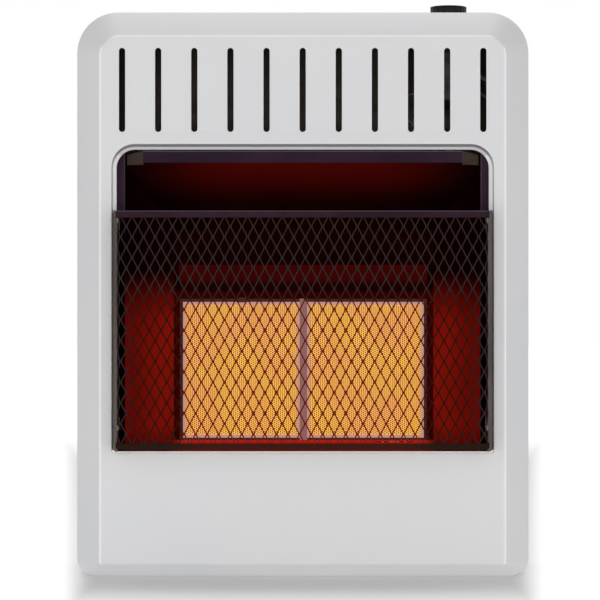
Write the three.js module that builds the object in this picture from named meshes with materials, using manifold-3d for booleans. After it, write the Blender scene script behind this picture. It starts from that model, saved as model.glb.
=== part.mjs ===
// Ventless infrared wall heater: a bevelled steel casing round a firebox with two glowing
// ceramic plaques, behind a hooked-on guard of expanded metal, with a push-and-turn gas knob.
// Millimetres, +Z up, the front towards -Y and the wall at +Y, the origin under the middle.
import * as THREE from 'three';
import { mergeVertices } from 'three/addons/utils/BufferGeometryUtils.js';
import Module from 'manifold-3d';

const wasm = await Module();
wasm.setup();

// Fits and cuts shared by the whole heater
const clearance = 0.3;
const overrun = 2;
const weld = 0.0005;
const cornerSteps = 6;

// Casing: overall size, sheet and the bevel round the front
const caseWidth = 475;
const caseHeight = 593;
const caseDepth = 175;
const guardStandOff = 35;
const sheet = 1.2;
const caseTopRadius = 43;
const caseBottomRadius = 19;
const bevelDepth = 28;
const bevelSide = 26.5;
const bevelTop = 27.8;
const bevelBottom = 17.7;
const creaseTopRadius = 20;
const creaseBottomRadius = 3;
const skirtDepth = 15;
const joggleDepth = 8;

// Upright air slots over the window
const ventCount = 11;
const ventMargin = 23;
const ventWidth = 6;
const ventDrop = 40.9;
const ventGap = 19.3;
const ventSteps = 4;

// Window with its recessed lip, placed by its margins to the sides, top and bottom
const windowSide = 43.5;
const windowDrop = 147;
const windowSill = 132;
const windowTopRadius = 19;
const windowBottomRadius = 1.2;
const lipWidth = 4.8;
const lipBottom = 1.5;
const lipRecess = 3.5;
const lipReturn = 4.2;

// Air intake slots in the underside of the cabinet
const intakeCount = 12;
const intakeMargin = 61.5;
const intakeWidth = 7;
const intakeLength = 70;
const intakeSetback = 28;

// Back panel
const backSheet = 1;
const backFlange = 12;
const keyholeInset = 56.5;
const keyholeDrop = 88;
const keyholeHeadRadius = 6;
const keyholeNeckWidth = 5.6;
const keyholeRise = 13;
const inletHoleRadius = 17;

// Firebox: it fills the casing from behind the face to the room for the burner box
const fireSheet = 1;
const fireFrontDepth = 8;
const fireRearRoom = 45;
const fireFrontInset = 8;
const burnerSideRoom = 7.2;
const fireFlange = 19;
const fireWallCover = 10;
const hoodDrop = 13;
const ceilingHeadroom = 39.15;
const hoodStripHeight = 12;
const hoodEndReach = 18.5;
const hoodEndSetback = 6.5;
const hoodEndFall = 4.4;
const hearthRise = 1;
const hearthClimb = 6.5;
const hearthFlange = 14;
const visorHeight = 28;
const visorReach = 24;
const visorShelf = 17;
const visorGap = 8;
const visorFoot = 12;

// Plaques, the frame that holds them and the burner box behind
const plaqueWidth = 131;
const plaqueHeight = 151.5;
const plaqueThickness = 13;
const plaqueLip = 2;
const plaqueWeb = 3;
const plaqueChamfer = 1;
const burnerSillRise = 5.35;
const frameWall = 1.2;
const gasketThickness = 3;
const gasketBorder = 7;
const plenumDepth = 34;
const plenumInset = 8;
const plenumDraft = 4;
const plenumSheet = 1;
const clipWidth = 9;
const clipOffset = 66;
const clipDrop = 4;
const bracketSheet = 1.5;
const burnerBracketOffset = 80;
const burnerBracketWidth = 24;
const burnerBracketLeg = 34;

// Mixing tube and injector
const venturiHeight = 22;
const venturiOutletRadius = 12.5;
const venturiThroatRadius = 9;
const venturiMouthRadius = 17;
const venturiWall = 1.2;
const venturiInsertion = 6;
const venturiFlareShare = 0.35;
const venturiPlaceShares = [0, 0.35, 0.6, 0.78, 0.9, 1];
const injectorGap = 4;
const injectorInset = 49;
const injectorNozzleRadius = 3;
const injectorNozzleLength = 6;
const injectorCollarRadius = 7;
const injectorCollarLength = 6;
const injectorBodyRadius = 8;
const injectorBodyLength = 16;
const injectorBossRise = 14;
const injectorPlateHalf = 16;
const injectorFoot = 18;

// Guard: expanded metal held in folded rails
const guardInset = 5.5;
const guardLipGap = 1.5;
const guardSillRise = 3.6;
const guardDrop = 63.2;
const guardCornerRadius = 4;
const guardCornerSteps = 3;
const guardSheet = 1.1;
const railHeight = 7.3;
const railFold = 1;
const meshColumns = 17;
const meshRows = 7;
const strandWidth = 2.1;
const sideMeshReach = 8;
const sideMeshRows = 9;
const hookSheet = 1.2;
const hookPlate = 12;
const hookPlateLength = 11;
const hookSetback = 16;
const hookNeck = 8;
const hookFinger = 12;
const hookRise = 27;
const hookLift = 9;

// Knob, its well in the casing's top, and the gas valve under it
const knobInset = 81.5;
const knobSetback = 85;
const knobRadius = 20;
const knobHeight = 20;
const knobProud = 12.5;
const knobCrown = 1;
const knobEdge = 1.5;
const knobEdgeSteps = 3;
const knobSkirt = 3;
const knobHubRadius = 7.4;
const knobHubDrop = 0.6;
const knobPush = 4;
const gripCount = 24;
const gripRadius = 0.7;
const wellGap = 2.6;
const wellWall = 1.2;
const wellDepth = 13;
const wellRim = 3.2;
const wellHole = 9.5;
const stemRadius = 3;
const stemFlat = 0.8;
const stemInKnob = 13;
const stemInPlug = 16;
const valveDrop = 48;
const valveWidth = 46;
const valveDepth = 36;
const valveHeight = 40;
const bonnetRadius = 13;
const bonnetHeight = 10;
const plugShaftRadius = 6;
const plugShaftLength = 15;
const plugDiscRadius = 9;
const plugDiscHeight = 6.7;
const springRadius = 6;
const springWire = 1.2;
const springTurns = 5;
const springStepShare = 8;
const springSides = 5;
const portRadius = 8;
const portLength = 10;
const portSpread = 9;
const portHeight = 24;
const smallPortRadius = 5;
const smallPortHeight = 8;
const shelfMargin = 8;
const shelfDrop = 40;

// Regulator and gas inlet
const regulatorInset = 87.5;
const regulatorSetback = 55;
const regulatorBottom = 36;
const regulatorRadius = 27;
const regulatorFootRadius = 21.6;
const regulatorShoulderRadius = 24.3;
const regulatorCrownRadius = 16.2;
const regulatorRimRadius = 31;
const regulatorRim = 4;
const regulatorHeight = 27;
const regulatorCapRadius = 11;
const regulatorCapHeight = 12;
const inletBossRadius = 11;
const inletBossLength = 38;
const outletBossLength = 40;
const inletHexRadius = 13;
const inletHexLength = 6;
const inletPipeRadius = 10.5;
const inletBoreRadius = 7;
const inletBoreDepth = 12;
const inletSetback = 2;
const regulatorShelfDrop = 20;

// Gas tubes and leads
const gasTubeRadius = 4;
const tubeBend = 16;
const pilotTubeRadius = 2;
const leadRadius = 1.2;
const tubeSides = 6;
const tubeSteps = 22;
const leadSides = 5;
const leadSteps = 30;
const inletRunInset = 15;
const burnerRunInset = 33;
const pilotRunInset = 26;
const leadRunInset = 12;
const leadWallGap = 22.4;

// Oxygen-sensing pilot under the hearth
const pilotInset = 36.3;
const pilotGap = 14.9;
const pilotRadius = 4.5;
const pilotHeadRadius = 6;
const pilotHeadHeight = 11;
const pilotHeight = 34;
const pilotPlateDrop = 19;
const pilotPlateWidth = 44;
const pilotPlateReach = 12;
const sensorOffset = 12;
const sensorRadius = 2.2;
const sensorLength = 27;
const electrodeRadius = 3.2;
const electrodePinRadius = 0.9;
const electrodePin = 9;
const electrodeLength = 26;
const pilotWindowWidth = 42;
const pilotWindowDepth = 17;

// Levels and planes that several pieces share
const backY = (caseDepth + guardStandOff) / 2;
const faceY = backY - caseDepth;
const bevelY = faceY + bevelDepth;
const skirtY = bevelY + skirtDepth;
const faceHalf = caseWidth / 2 - bevelSide;
const windowWidth = caseWidth - 2 * windowSide;
const windowTop = caseHeight - windowDrop;
const ventPitch = (2 * (faceHalf - ventMargin)) / (ventCount - 1);
const ventTop = caseHeight - ventDrop;
const intakePitch = (caseWidth - 2 * intakeMargin) / (intakeCount - 1);
const keyholeX = caseWidth / 2 - keyholeInset;
const keyholeZ = caseHeight - keyholeDrop;
const lipY = faceY + lipRecess;
const fireY = faceY + fireFrontDepth;
const fireBackY = backY - fireRearRoom;
const backPanelY = backY - backSheet;
const innerWall = caseWidth / 2 - sheet;
const hoodZ = windowTop - hoodDrop;
const hearthZ = windowSill + hearthRise;
const frameHalf = plaqueWeb / 2 + plaqueWidth + 2 * clearance + frameWall;
const frameRise = plaqueHeight / 2 + clearance + frameWall;
const frameBottom = windowSill + burnerSillRise;
const burnerCentre = frameBottom + frameRise;
const frameTop = burnerCentre + frameRise;
const visorTop = frameTop + visorGap + visorHeight;
const ceilingBackZ = visorTop + ceilingHeadroom;
const fireFrontWidth = windowWidth - 2 * fireFrontInset;
const fireBackWidth = 2 * (frameHalf + burnerSideRoom);
const frameDepth = frameWall + clearance + plaqueThickness + clearance + gasketThickness;
const frameBackY = fireBackY + fireSheet - clearance;
const frameFrontY = frameBackY - frameDepth;
const plenumY = frameBackY + clearance;
const plenumBackY = plenumY + plenumDepth;
const guardY = faceY - guardStandOff;
const guardWidth = windowWidth - 2 * guardInset;
const guardBackWidth = windowWidth + 2 * (lipWidth - guardLipGap);
const guardSill = windowSill + guardSillRise;
const guardTop = windowTop - guardDrop;
const guardBackEdge = lipY - clearance;
const knobX = caseWidth / 2 - knobInset;
const knobY = faceY + knobSetback;
const knobTop = caseHeight + knobProud;
const knobBottom = knobTop - knobHeight;
const wellFloor = caseHeight - wellDepth;
const wellRadius = knobRadius + wellGap;
const valveTop = caseHeight - valveDrop;
const valveBottom = valveTop - valveHeight;
const plugZ = valveTop + bonnetHeight + clearance;
const plugTop = plugZ + plugDiscHeight;
const venturiZ = frameBottom + venturiHeight;
const venturiY = plenumY + plenumDepth / 2;
const plenumSideX = frameHalf - plenumInset - plenumDraft / 2;
const venturiX = plenumSideX - venturiInsertion;
const injectorX = innerWall - injectorInset;
const venturiLength = injectorX - injectorGap - venturiX;
const injectorBodyX = injectorX + injectorNozzleLength + injectorCollarLength;
const injectorBossX = injectorBodyX + injectorBodyLength / 2;
const injectorBossTop = venturiZ + injectorBossRise;
const pilotX = frameHalf - pilotInset;
const pilotY = frameFrontY - pilotGap;
const portX = knobX + valveWidth / 2 + portLength;
const inletPortY = knobY - portSpread;
const outletPortY = knobY + portSpread;
const portZ = valveBottom + portHeight;
const smallPortZ = valveBottom + smallPortHeight;
const regulatorX = caseWidth / 2 - regulatorInset;
const regulatorY = backY - regulatorSetback;
const regulatorMiddle = regulatorBottom + regulatorHeight / 2;

// Finishes
const finish = (color, roughness, metalness) => (
  new THREE.MeshStandardMaterial({ color, roughness, metalness }));
const paintedSteel = finish(0xd7d7d9, 0.45, 0.1);
const darkEnamel = finish(0x2c2530, 0.4, 0.3);
const reflectorSteel = finish(0x4a2a20, 0.5, 0.4);
const plaqueCeramic = finish(0xffb45a, 0.8, 0);
const frameSteel = finish(0x8f7f78, 0.5, 0.6);
const galvanised = finish(0x9a9da0, 0.45, 0.8);
const burnerSteel = finish(0x8a8a88, 0.5, 0.8);
const gasketFibre = finish(0xd9d4c8, 0.95, 0);
const brass = finish(0xb08d4a, 0.35, 0.9);
const castAluminium = finish(0xa7a9ab, 0.55, 0.7);
const aluminiumTube = finish(0xb9bcbf, 0.35, 0.9);
const copper = finish(0xb36a45, 0.35, 0.9);
const springSteel = finish(0x8d9094, 0.3, 0.9);
const knobPlastic = finish(0x15161a, 0.35, 0);
const ceramicWhite = finish(0xe8e4da, 0.4, 0);

const heater = new THREE.Group();

// A closed three.js geometry as a solid that can be joined and cut. Its faces are turned
// outwards and the faces that collapse at a pole are dropped.
function toSolid(geometry) {
  const bare = geometry.clone();
  bare.deleteAttribute('normal');
  bare.deleteAttribute('uv');
  const merged = mergeVertices(bare, weld);
  const place = merged.attributes.position;
  const corner = [new THREE.Vector3(), new THREE.Vector3(), new THREE.Vector3()];
  const faces = [];
  let volume = 0;
  for (let i = 0; i < merged.index.count; i += 3) {
    const face = [0, 1, 2].map((k) => merged.index.getX(i + k));
    if (new Set(face).size === 3) {
      face.forEach((vertex, k) => corner[k].fromBufferAttribute(place, vertex));
      volume += corner[0].dot(corner[1].clone().cross(corner[2]));
      faces.push(face);
    }
  }
  const ordered = volume < 0 ? faces.map(([a, b, c]) => [a, c, b]) : faces;
  return new wasm.Manifold(new wasm.Mesh({
    numProp: 3,
    vertProperties: new Float32Array(place.array),
    triVerts: new Uint32Array(ordered.flat()),
  }));
}

// Puts a finished solid into the heater as a named mesh.
function place(name, solid, material) {
  const made = solid.getMesh();
  const geometry = new THREE.BufferGeometry();
  geometry.setAttribute('position', new THREE.BufferAttribute(made.vertProperties, 3));
  geometry.setIndex(new THREE.BufferAttribute(made.triVerts, 1));
  const mesh = new THREE.Mesh(geometry.toNonIndexed(), material);
  mesh.geometry.computeVertexNormals();
  mesh.name = name;
  heater.add(mesh);
}

// Joins matching rings of points into one closed skin with flat ends.
function loft(rings) {
  const count = rings[0].length;
  const index = [];
  for (let r = 0; r < rings.length - 1; r += 1) {
    for (let i = 0; i < count; i += 1) {
      const a = r * count + i;
      const b = r * count + ((i + 1) % count);
      index.push(a, b, b + count, a, b + count, a + count);
    }
  }
  [[rings[0], 0, true], [rings.at(-1), (rings.length - 1) * count, false]].forEach(
    ([ring, first, turned]) => {
      const flat = flatten(ring);
      const upright = THREE.ShapeUtils.area(flat) > 0;
      THREE.ShapeUtils.triangulateShape(flat, []).forEach(([a, b, c]) => {
        const same = (THREE.ShapeUtils.area([flat[a], flat[b], flat[c]]) > 0) === upright;
        const keep = same !== turned;
        index.push(first + a, first + (keep ? b : c), first + (keep ? c : b));
      });
    },
  );
  const geometry = new THREE.BufferGeometry();
  const points = rings.flat().flatMap((p) => [p.x, p.y, p.z]);
  geometry.setAttribute('position', new THREE.Float32BufferAttribute(points, 3));
  geometry.setIndex(index);
  return toSolid(geometry);
}

// A flat ring of points seen square to its own plane.
function flatten(ring) {
  const normal = new THREE.Vector3();
  ring.forEach((p, i) => normal.add(p.clone().cross(ring[(i + 1) % ring.length])));
  const across = ring[1].clone().sub(ring[0]).normalize();
  const up = normal.normalize().cross(across);
  return ring.map((p) => new THREE.Vector2(p.dot(across), p.dot(up)));
}

const at = (x, y) => new THREE.Vector2(x, y);
const ringAtY = (outline, y) => outline.map((p) => new THREE.Vector3(p.x, y, p.y));
const ringAtZ = (outline, z) => outline.map((p) => new THREE.Vector3(p.x, p.y, z));
const ringAtX = (outline, x) => outline.map((p) => new THREE.Vector3(x, p.x, p.y));

// Straight prisms: an outline in X and Z carried along Y, in X and Y along Z, or in Y and Z
// along X.
const alongY = (outline, from, to) => loft([ringAtY(outline, from), ringAtY(outline, to)]);
const alongZ = (outline, from, to) => loft([ringAtZ(outline, from), ringAtZ(outline, to)]);
const alongX = (outline, from, to) => loft([ringAtX(outline, from), ringAtX(outline, to)]);

// A block between two opposite corners.
function block(x0, x1, y0, y1, z0, z1) {
  const geometry = new THREE.BoxGeometry(x1 - x0, y1 - y0, z1 - z0);
  return toSolid(geometry.translate((x0 + x1) / 2, (y0 + y1) / 2, (z0 + z1) / 2));
}

// A quarter arc of points from a start angle.
function quarter(x, y, radius, start) {
  return Array.from({ length: cornerSteps + 1 }, (_, i) => {
    const angle = start + (i / cornerSteps) * (Math.PI / 2);
    return at(x + radius * Math.cos(angle), y + radius * Math.sin(angle));
  });
}

// A rectangle standing on its bottom edge, with its own radius at the bottom and at the top.
function arch(half, bottom, top, bottomRadius, topRadius) {
  return [
    ...quarter(half - bottomRadius, bottom + bottomRadius, bottomRadius, -Math.PI / 2),
    ...quarter(half - topRadius, top - topRadius, topRadius, 0),
    ...quarter(topRadius - half, top - topRadius, topRadius, Math.PI / 2),
    ...quarter(bottomRadius - half, bottom + bottomRadius, bottomRadius, Math.PI),
  ];
}

// A slot with round ends, upright in its plane.
function capsule(x, bottom, top, half, steps) {
  const end = (y, start) => Array.from({ length: steps + 1 }, (_, i) => {
    const angle = start + (i / steps) * Math.PI;
    return at(x + half * Math.cos(angle), y + half * Math.sin(angle));
  });
  return [...end(top - half, 0), ...end(bottom + half, Math.PI)];
}

function circle(x, y, radius, sides) {
  return Array.from({ length: sides }, (_, i) => {
    const angle = ((i + 1 / 2) / sides) * 2 * Math.PI;
    return at(x + radius * Math.cos(angle), y + radius * Math.sin(angle));
  });
}

const rectangle = (x0, x1, y0, y1) => [at(x0, y0), at(x1, y0), at(x1, y1), at(x0, y1)];

// A body turned about +Z from (radius, height) points, moved to its axis.
function turned(profile, sides, x, y) {
  const geometry = new THREE.LatheGeometry(profile.map(([r, h]) => at(r, h)), sides);
  return toSolid(geometry.rotateX(Math.PI / 2).translate(x, y, 0));
}

// The same, turned about an axis along +X.
function turnedAlongX(profile, sides, x, y, z) {
  const geometry = new THREE.LatheGeometry(profile.map(([r, h]) => at(r, h)), sides);
  return toSolid(geometry.rotateZ(-Math.PI / 2).translate(x, y, z));
}

// Bent sheet seen edge on: the band between two offsets to the left of a path, mitred at
// its bends.
function band(path, near, far) {
  const side = path.slice(1).map((p, i) => {
    const run = p.clone().sub(path[i]).normalize();
    return at(-run.y, run.x);
  });
  const offset = (distance) => path.map((p, i) => {
    const before = side[Math.max(i - 1, 0)];
    const after = side[Math.min(i, side.length - 1)];
    const mitre = before.clone().add(after).divideScalar(1 + before.dot(after));
    return p.clone().addScaledVector(mitre, distance);
  });
  return [...offset(near), ...offset(far).reverse()];
}

// A path whose inner corners are rounded to a radius.
function rounded(path, radius, steps) {
  return path.flatMap((p, i) => {
    if (i === 0 || i === path.length - 1) {
      return [p];
    }
    const back = path[i - 1].clone().sub(p).normalize();
    const ahead = path[i + 1].clone().sub(p).normalize();
    const turn = Math.acos(back.dot(ahead));
    const reach = radius / Math.tan(turn / 2);
    const middle = back.clone().add(ahead).normalize();
    const centre = p.clone().addScaledVector(middle, radius / Math.sin(turn / 2));
    const start = p.clone().addScaledVector(back, reach).sub(centre);
    const end = p.clone().addScaledVector(ahead, reach).sub(centre);
    const sweep = Math.atan2(start.cross(end), start.dot(end));
    return Array.from({ length: steps + 1 }, (_, k) => (
      start.clone().rotateAround(at(0, 0), (k / steps) * sweep).add(centre)));
  });
}

// Round rod or tube of one size along a smooth curve through points.
function rod(points, radius, sides, steps) {
  const route = new THREE.CatmullRomCurve3(points.map((p) => new THREE.Vector3(...p)));
  const section = new THREE.Shape(circle(0, 0, radius, sides));
  return toSolid(new THREE.ExtrudeGeometry(section, {
    steps, bevelEnabled: false, extrudePath: route,
  }));
}

const join = (solids) => solids.reduce((all, next) => all.add(next));

// Outline of the casing, drawn in by an inset.
const casing = (inset) => arch(
  caseWidth / 2 - inset,
  inset,
  caseHeight - inset,
  caseBottomRadius - inset,
  caseTopRadius - inset,
);

// Outline of the flat face inside the bevel.
const face = (inset) => arch(
  faceHalf - inset,
  bevelBottom + inset,
  caseHeight - bevelTop - inset,
  creaseBottomRadius,
  creaseTopRadius,
);

// Outline of the window, grown at the sides and top, and by less at the sill.
const opening = (grow, growBelow) => arch(
  windowWidth / 2 + grow,
  windowSill - growBelow,
  windowTop + grow,
  windowBottomRadius,
  windowTopRadius + grow,
);

// Pressed front: bevel, skirt, air slots and the joggled lip of the window.
function frontPanel() {
  const slope = Math.atan2(bevelDepth, bevelSide);
  const outside = loft([
    ringAtY(casing(0), skirtY),
    ringAtY(casing(0), bevelY),
    ringAtY(face(0), faceY),
  ]);
  const inside = loft([
    ringAtY(casing(sheet), skirtY + overrun),
    ringAtY(casing(sheet), bevelY + sheet * Math.tan(Math.PI / 4 - slope / 2)),
    ringAtY(face(sheet * Math.tan(slope / 2)), faceY + sheet),
  ]);
  const slots = Array.from({ length: ventCount }, (_, i) => {
    const x = (i - (ventCount - 1) / 2) * ventPitch;
    const slot = capsule(x, windowTop + ventGap, ventTop, ventWidth / 2, ventSteps);
    return alongY(slot, faceY - overrun, faceY + sheet + overrun);
  });
  const hole = alongY(opening(lipWidth, lipBottom), faceY - overrun, faceY + sheet + overrun);
  const ring = (outer, outerBelow, inner, innerBelow, from, to) => (
    alongY(opening(outer, outerBelow), from, to)
      .subtract(alongY(opening(inner, innerBelow), from - overrun, to + overrun)));
  const wall = ring(lipWidth + sheet, lipBottom + sheet, lipWidth, lipBottom, faceY, lipY + sheet);
  const ledge = ring(lipWidth + sheet, lipBottom + sheet, 0, 0, lipY, lipY + sheet);
  const hem = ring(sheet, sheet, 0, 0, lipY, lipY + lipReturn);
  const shell = outside.subtract(inside).subtract(join(slots)).subtract(hole);
  place('front_panel', join([shell, wall, ledge, hem]), paintedSteel);
}

// Wrap of sides, top and bottom, with a joggle that slips inside the front's skirt.
function cabinet() {
  const start = skirtY + clearance;
  const slip = sheet + clearance;
  const ring = (outer, inner, from, to) => (
    alongY(casing(outer), from, to)
      .subtract(alongY(casing(inner), from - overrun, to + overrun)));
  const wrap = ring(0, sheet, start, backY);
  const step = ring(0, slip + sheet, start, start + sheet);
  const joggle = ring(slip, slip + sheet, skirtY - joggleDepth, start + sheet);
  const knobHole = alongZ(
    circle(knobX, knobY, wellRadius + wellWall + clearance, 24),
    caseHeight - sheet - overrun,
    caseHeight + overrun,
  );
  const intakes = Array.from({ length: intakeCount }, (_, i) => {
    const x = (i - (intakeCount - 1) / 2) * intakePitch;
    const y = start + intakeSetback;
    const half = intakeWidth / 2;
    return block(x - half, x + half, y, y + intakeLength, -overrun, sheet + overrun);
  });
  const body = join([wrap, step, joggle]).subtract(knobHole).subtract(join(intakes));
  place('cabinet', body, paintedSteel);
}

// Galvanised tray that hangs on the wall and closes the cabinet from behind.
function backPanel() {
  const edge = sheet + clearance;
  const tray = alongY(casing(edge), backY - backFlange, backY)
    .subtract(alongY(casing(edge + backSheet), backY - backFlange - overrun, backPanelY));
  const cuts = [-1, 1].flatMap((side) => {
    const x = side * keyholeX;
    const neck = capsule(x, keyholeZ, keyholeZ + keyholeRise, keyholeNeckWidth / 2, ventSteps);
    const head = circle(x, keyholeZ, keyholeHeadRadius, 12);
    return [neck, head].map((outline) => alongY(outline, backPanelY - overrun, backY + overrun));
  });
  const inlet = circle(regulatorX, regulatorMiddle, inletHoleRadius, 16);
  const inletHole = alongY(inlet, backPanelY - overrun, backY + overrun);
  place('back_panel', tray.subtract(join(cuts)).subtract(inletHole), galvanised);
}

// Half of the firebox's width at a depth behind its front flanges.
function fireHalf(y) {
  const share = (y - fireY) / (fireBackY - fireY);
  return (fireFrontWidth + (fireBackWidth - fireFrontWidth) * share) / 2;
}

// Heights of the sloping ceiling and of the gently rising hearth at a depth.
const ceilingAt = (y) => (
  hoodZ + (ceilingBackZ - hoodZ) * ((y - fireY) / (fireBackY - fireY)));
const hearthAt = (y) => hearthZ + hearthClimb * ((y - fireY) / (fireBackY - fireY));

// Centres of the guard's hooks and the plan position of their necks.
const hookLevels = [
  guardSill + hookRise, guardTop - railHeight - clearance - hookPlate / 2,
];
const guardSheetIn = railFold + clearance;
const guardSheetOut = guardSheetIn + guardSheet;
const guardInside = guardSheetOut + clearance;

// Plan path of the outer face of the guard's rails, from one end to the other.
function guardPath() {
  const half = guardWidth / 2;
  const back = guardBackWidth / 2;
  const corners = [
    at(-back, guardBackEdge), at(-half, guardY), at(half, guardY), at(back, guardBackEdge),
  ];
  return rounded(corners, guardCornerRadius, guardCornerSteps);
}

// Plan path of a hook: flat along the return, then straight back through the flange's slot.
function hookPath(side) {
  const path = guardPath();
  const [bend, end] = side > 0 ? path.slice(-2) : [path[1], path[0]];
  const run = end.clone().sub(bend).normalize();
  const inward = at(-run.y * side, run.x * side);
  const start = bend.clone().addScaledVector(inward, guardInside)
    .addScaledVector(run, hookSetback);
  const turn = start.clone().addScaledVector(run, hookPlateLength);
  const tip = at(turn.x, fireY + fireSheet + clearance + hookSheet);
  return { path: [start, turn, tip], turnY: turn.y, x: turn.x };
}

// Splayed side wall with a front flange behind the casing's lip and slots for the hooks.
function sideReflector(name, side) {
  const path = [
    at(side * (fireFrontWidth / 2 + fireFlange), fireY),
    at(side * fireFrontWidth / 2, fireY),
    at(side * fireBackWidth / 2, fireBackY),
  ];
  const plan = band(path, 0, -side * fireSheet);
  const bottom = windowSill - lipBottom;
  const top = Math.max(windowTop + lipWidth, ceilingBackZ + fireWallCover);
  const sheetBody = alongZ(plan, bottom, top);
  const backCut = alongX(
    [
      at(fireY + fireSheet + overrun, top + overrun),
      at(fireY + fireSheet + overrun, ceilingAt(fireY) + fireWallCover),
      at(fireBackY, ceilingAt(fireBackY) + fireWallCover),
      at(fireBackY + overrun, top + overrun),
    ],
    -caseWidth / 2,
    caseWidth / 2,
  );
  const { x } = hookPath(side);
  const slots = hookLevels.map((z) => block(
    Math.min(x, x - side * hookSheet) - clearance,
    Math.max(x, x - side * hookSheet) + clearance,
    fireY - overrun,
    fireY + fireSheet + overrun,
    z - hookNeck / 2 - clearance,
    z + hookNeck / 2 + hookLift,
  ));
  const rear = block(
    -caseWidth / 2, caseWidth / 2, fireBackY - clearance, fireBackY + overrun, 0, caseHeight);
  place(name, sheetBody.subtract(join([backCut, rear, ...slots])), reflectorSteel);
}

// Plan of what lies between the side walls, from a front depth to a back depth.
function between(frontY, rearY) {
  const gap = clearance * 2;
  return [
    at(-fireHalf(frontY) + gap, frontY), at(fireHalf(frontY) - gap, frontY),
    at(fireHalf(rearY) - gap, rearY), at(-fireHalf(rearY) + gap, rearY),
  ];
}

// Hood: a front strip whose ends fold back and fall away, over the sloping ceiling.
function hood() {
  const rear = fireBackY - clearance;
  const front = fireFrontWidth / 2 - hoodEndReach;
  const foldY = fireY + hoodEndSetback;
  const foldX = fireHalf(foldY) - clearance * 2;
  const stripPath = [
    at(-foldX, foldY), at(-front, fireY), at(front, fireY), at(foldX, foldY),
  ];
  const ceilingPlan = [...stripPath, at(fireHalf(rear) - clearance * 2, rear),
    at(-fireHalf(rear) + clearance * 2, rear)];
  const slab = alongX(
    [
      at(fireY - overrun, ceilingAt(fireY - overrun)),
      at(rear + overrun, ceilingAt(rear + overrun)),
      at(rear + overrun, ceilingAt(rear + overrun) + fireSheet),
      at(fireY - overrun, ceilingAt(fireY - overrun) + fireSheet),
    ],
    -caseWidth / 2,
    caseWidth / 2,
  );
  const ceiling = slab.intersect(alongZ(ceilingPlan, 0, caseHeight));
  const top = hoodZ + hoodStripHeight;
  const stripFace = [
    at(-foldX, ceilingAt(foldY)), at(-front, hoodZ), at(front, hoodZ),
    at(foldX, ceilingAt(foldY)), at(foldX, top - hoodEndFall), at(front, top),
    at(-front, top), at(-foldX, top - hoodEndFall),
  ];
  const strip = alongZ(band(stripPath, 0, fireSheet), 0, caseHeight)
    .intersect(alongY(stripFace, fireY - overrun, foldY + overrun));
  place('hood', ceiling.add(strip), darkEnamel);
}

// Hearth under the plaques, with a flange turned down behind the sill and a pilot window.
function hearth() {
  const rear = frameFrontY - clearance;
  const slab = alongX(
    [
      at(fireY, hearthAt(fireY) - fireSheet), at(rear, hearthAt(rear) - fireSheet),
      at(rear, hearthAt(rear)), at(fireY, hearthAt(fireY)),
    ],
    -caseWidth / 2,
    caseWidth / 2,
  );
  const plate = slab.intersect(alongZ(between(fireY, rear), 0, caseHeight));
  const half = fireHalf(fireY + fireSheet) - clearance * 2;
  const flange = block(
    -half, half, fireY, fireY + fireSheet, hearthZ - hearthFlange, hearthZ - fireSheet / 2);
  const pilotWindow = block(
    pilotX - pilotWindowWidth / 2, pilotX + pilotWindowWidth / 2,
    pilotY - pilotWindowDepth / 2, pilotY + pilotWindowDepth / 2,
    hearthZ - hearthFlange, hearthZ + hearthClimb + overrun,
  );
  place('bottom_reflector', plate.add(flange).subtract(pilotWindow), reflectorSteel);
}

// Back wall of the firebox round the burner.
function backReflector() {
  const half = fireHalf(fireBackY) + fireSheet;
  const bottom = windowSill - lipBottom;
  const plate = alongY(
    rectangle(-half, half, bottom, ceilingAt(fireBackY) + fireWallCover), fireBackY,
    fireBackY + fireSheet);
  const hole = alongY(
    rectangle(
      -frameHalf - clearance, frameHalf + clearance, frameBottom - clearance,
      frameTop + clearance),
    fireBackY - overrun, fireBackY + fireSheet + overrun);
  place('back_reflector', plate.subtract(hole), reflectorSteel);
}

// Visor over the plaques: a foot on the back wall, a shelf and a blade that leans forward.
function visor() {
  const back = fireBackY - clearance;
  const shelf = frameTop + visorGap;
  const path = [
    at(back, shelf + visorFoot), at(back, shelf), at(back - visorShelf, shelf),
    at(back - visorShelf - visorReach, visorTop),
  ];
  const half = frameHalf - clearance;
  const body = alongX(band(path, 0, -fireSheet), -half, half);
  place('visor', body, reflectorSteel);
}

// Frame with a lip round each plaque, a web between them and room behind for the gasket.
function plaqueFrame() {
  const pocketHalf = plaqueWidth / 2 + clearance;
  const pocketRise = plaqueHeight / 2 + clearance;
  const shell = block(-frameHalf, frameHalf, frameFrontY, frameBackY, frameBottom, frameTop);
  const cuts = [-1, 1].flatMap((side) => {
    const x = side * plaqueCentre();
    const low = burnerCentre - pocketRise;
    const pocket = block(
      x - pocketHalf, x + pocketHalf, frameFrontY + frameWall, frameBackY + overrun, low,
      burnerCentre + pocketRise);
    const half = plaqueWidth / 2 - plaqueLip;
    const rise = plaqueHeight / 2 - plaqueLip;
    const view = block(
      x - half, x + half, frameFrontY - overrun, frameFrontY + frameWall + overrun,
      burnerCentre - rise, burnerCentre + rise);
    return [pocket, view];
  });
  const gasketRoom = block(
    -frameHalf + frameWall, frameHalf - frameWall,
    frameBackY - gasketThickness - clearance, frameBackY + overrun,
    frameBottom + frameWall, frameTop - frameWall);
  place('plaque_frame', shell.subtract(join([...cuts, gasketRoom])), frameSteel);
}

const plaqueCentre = () => plaqueWeb / 2 + clearance + plaqueWidth / 2;

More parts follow.
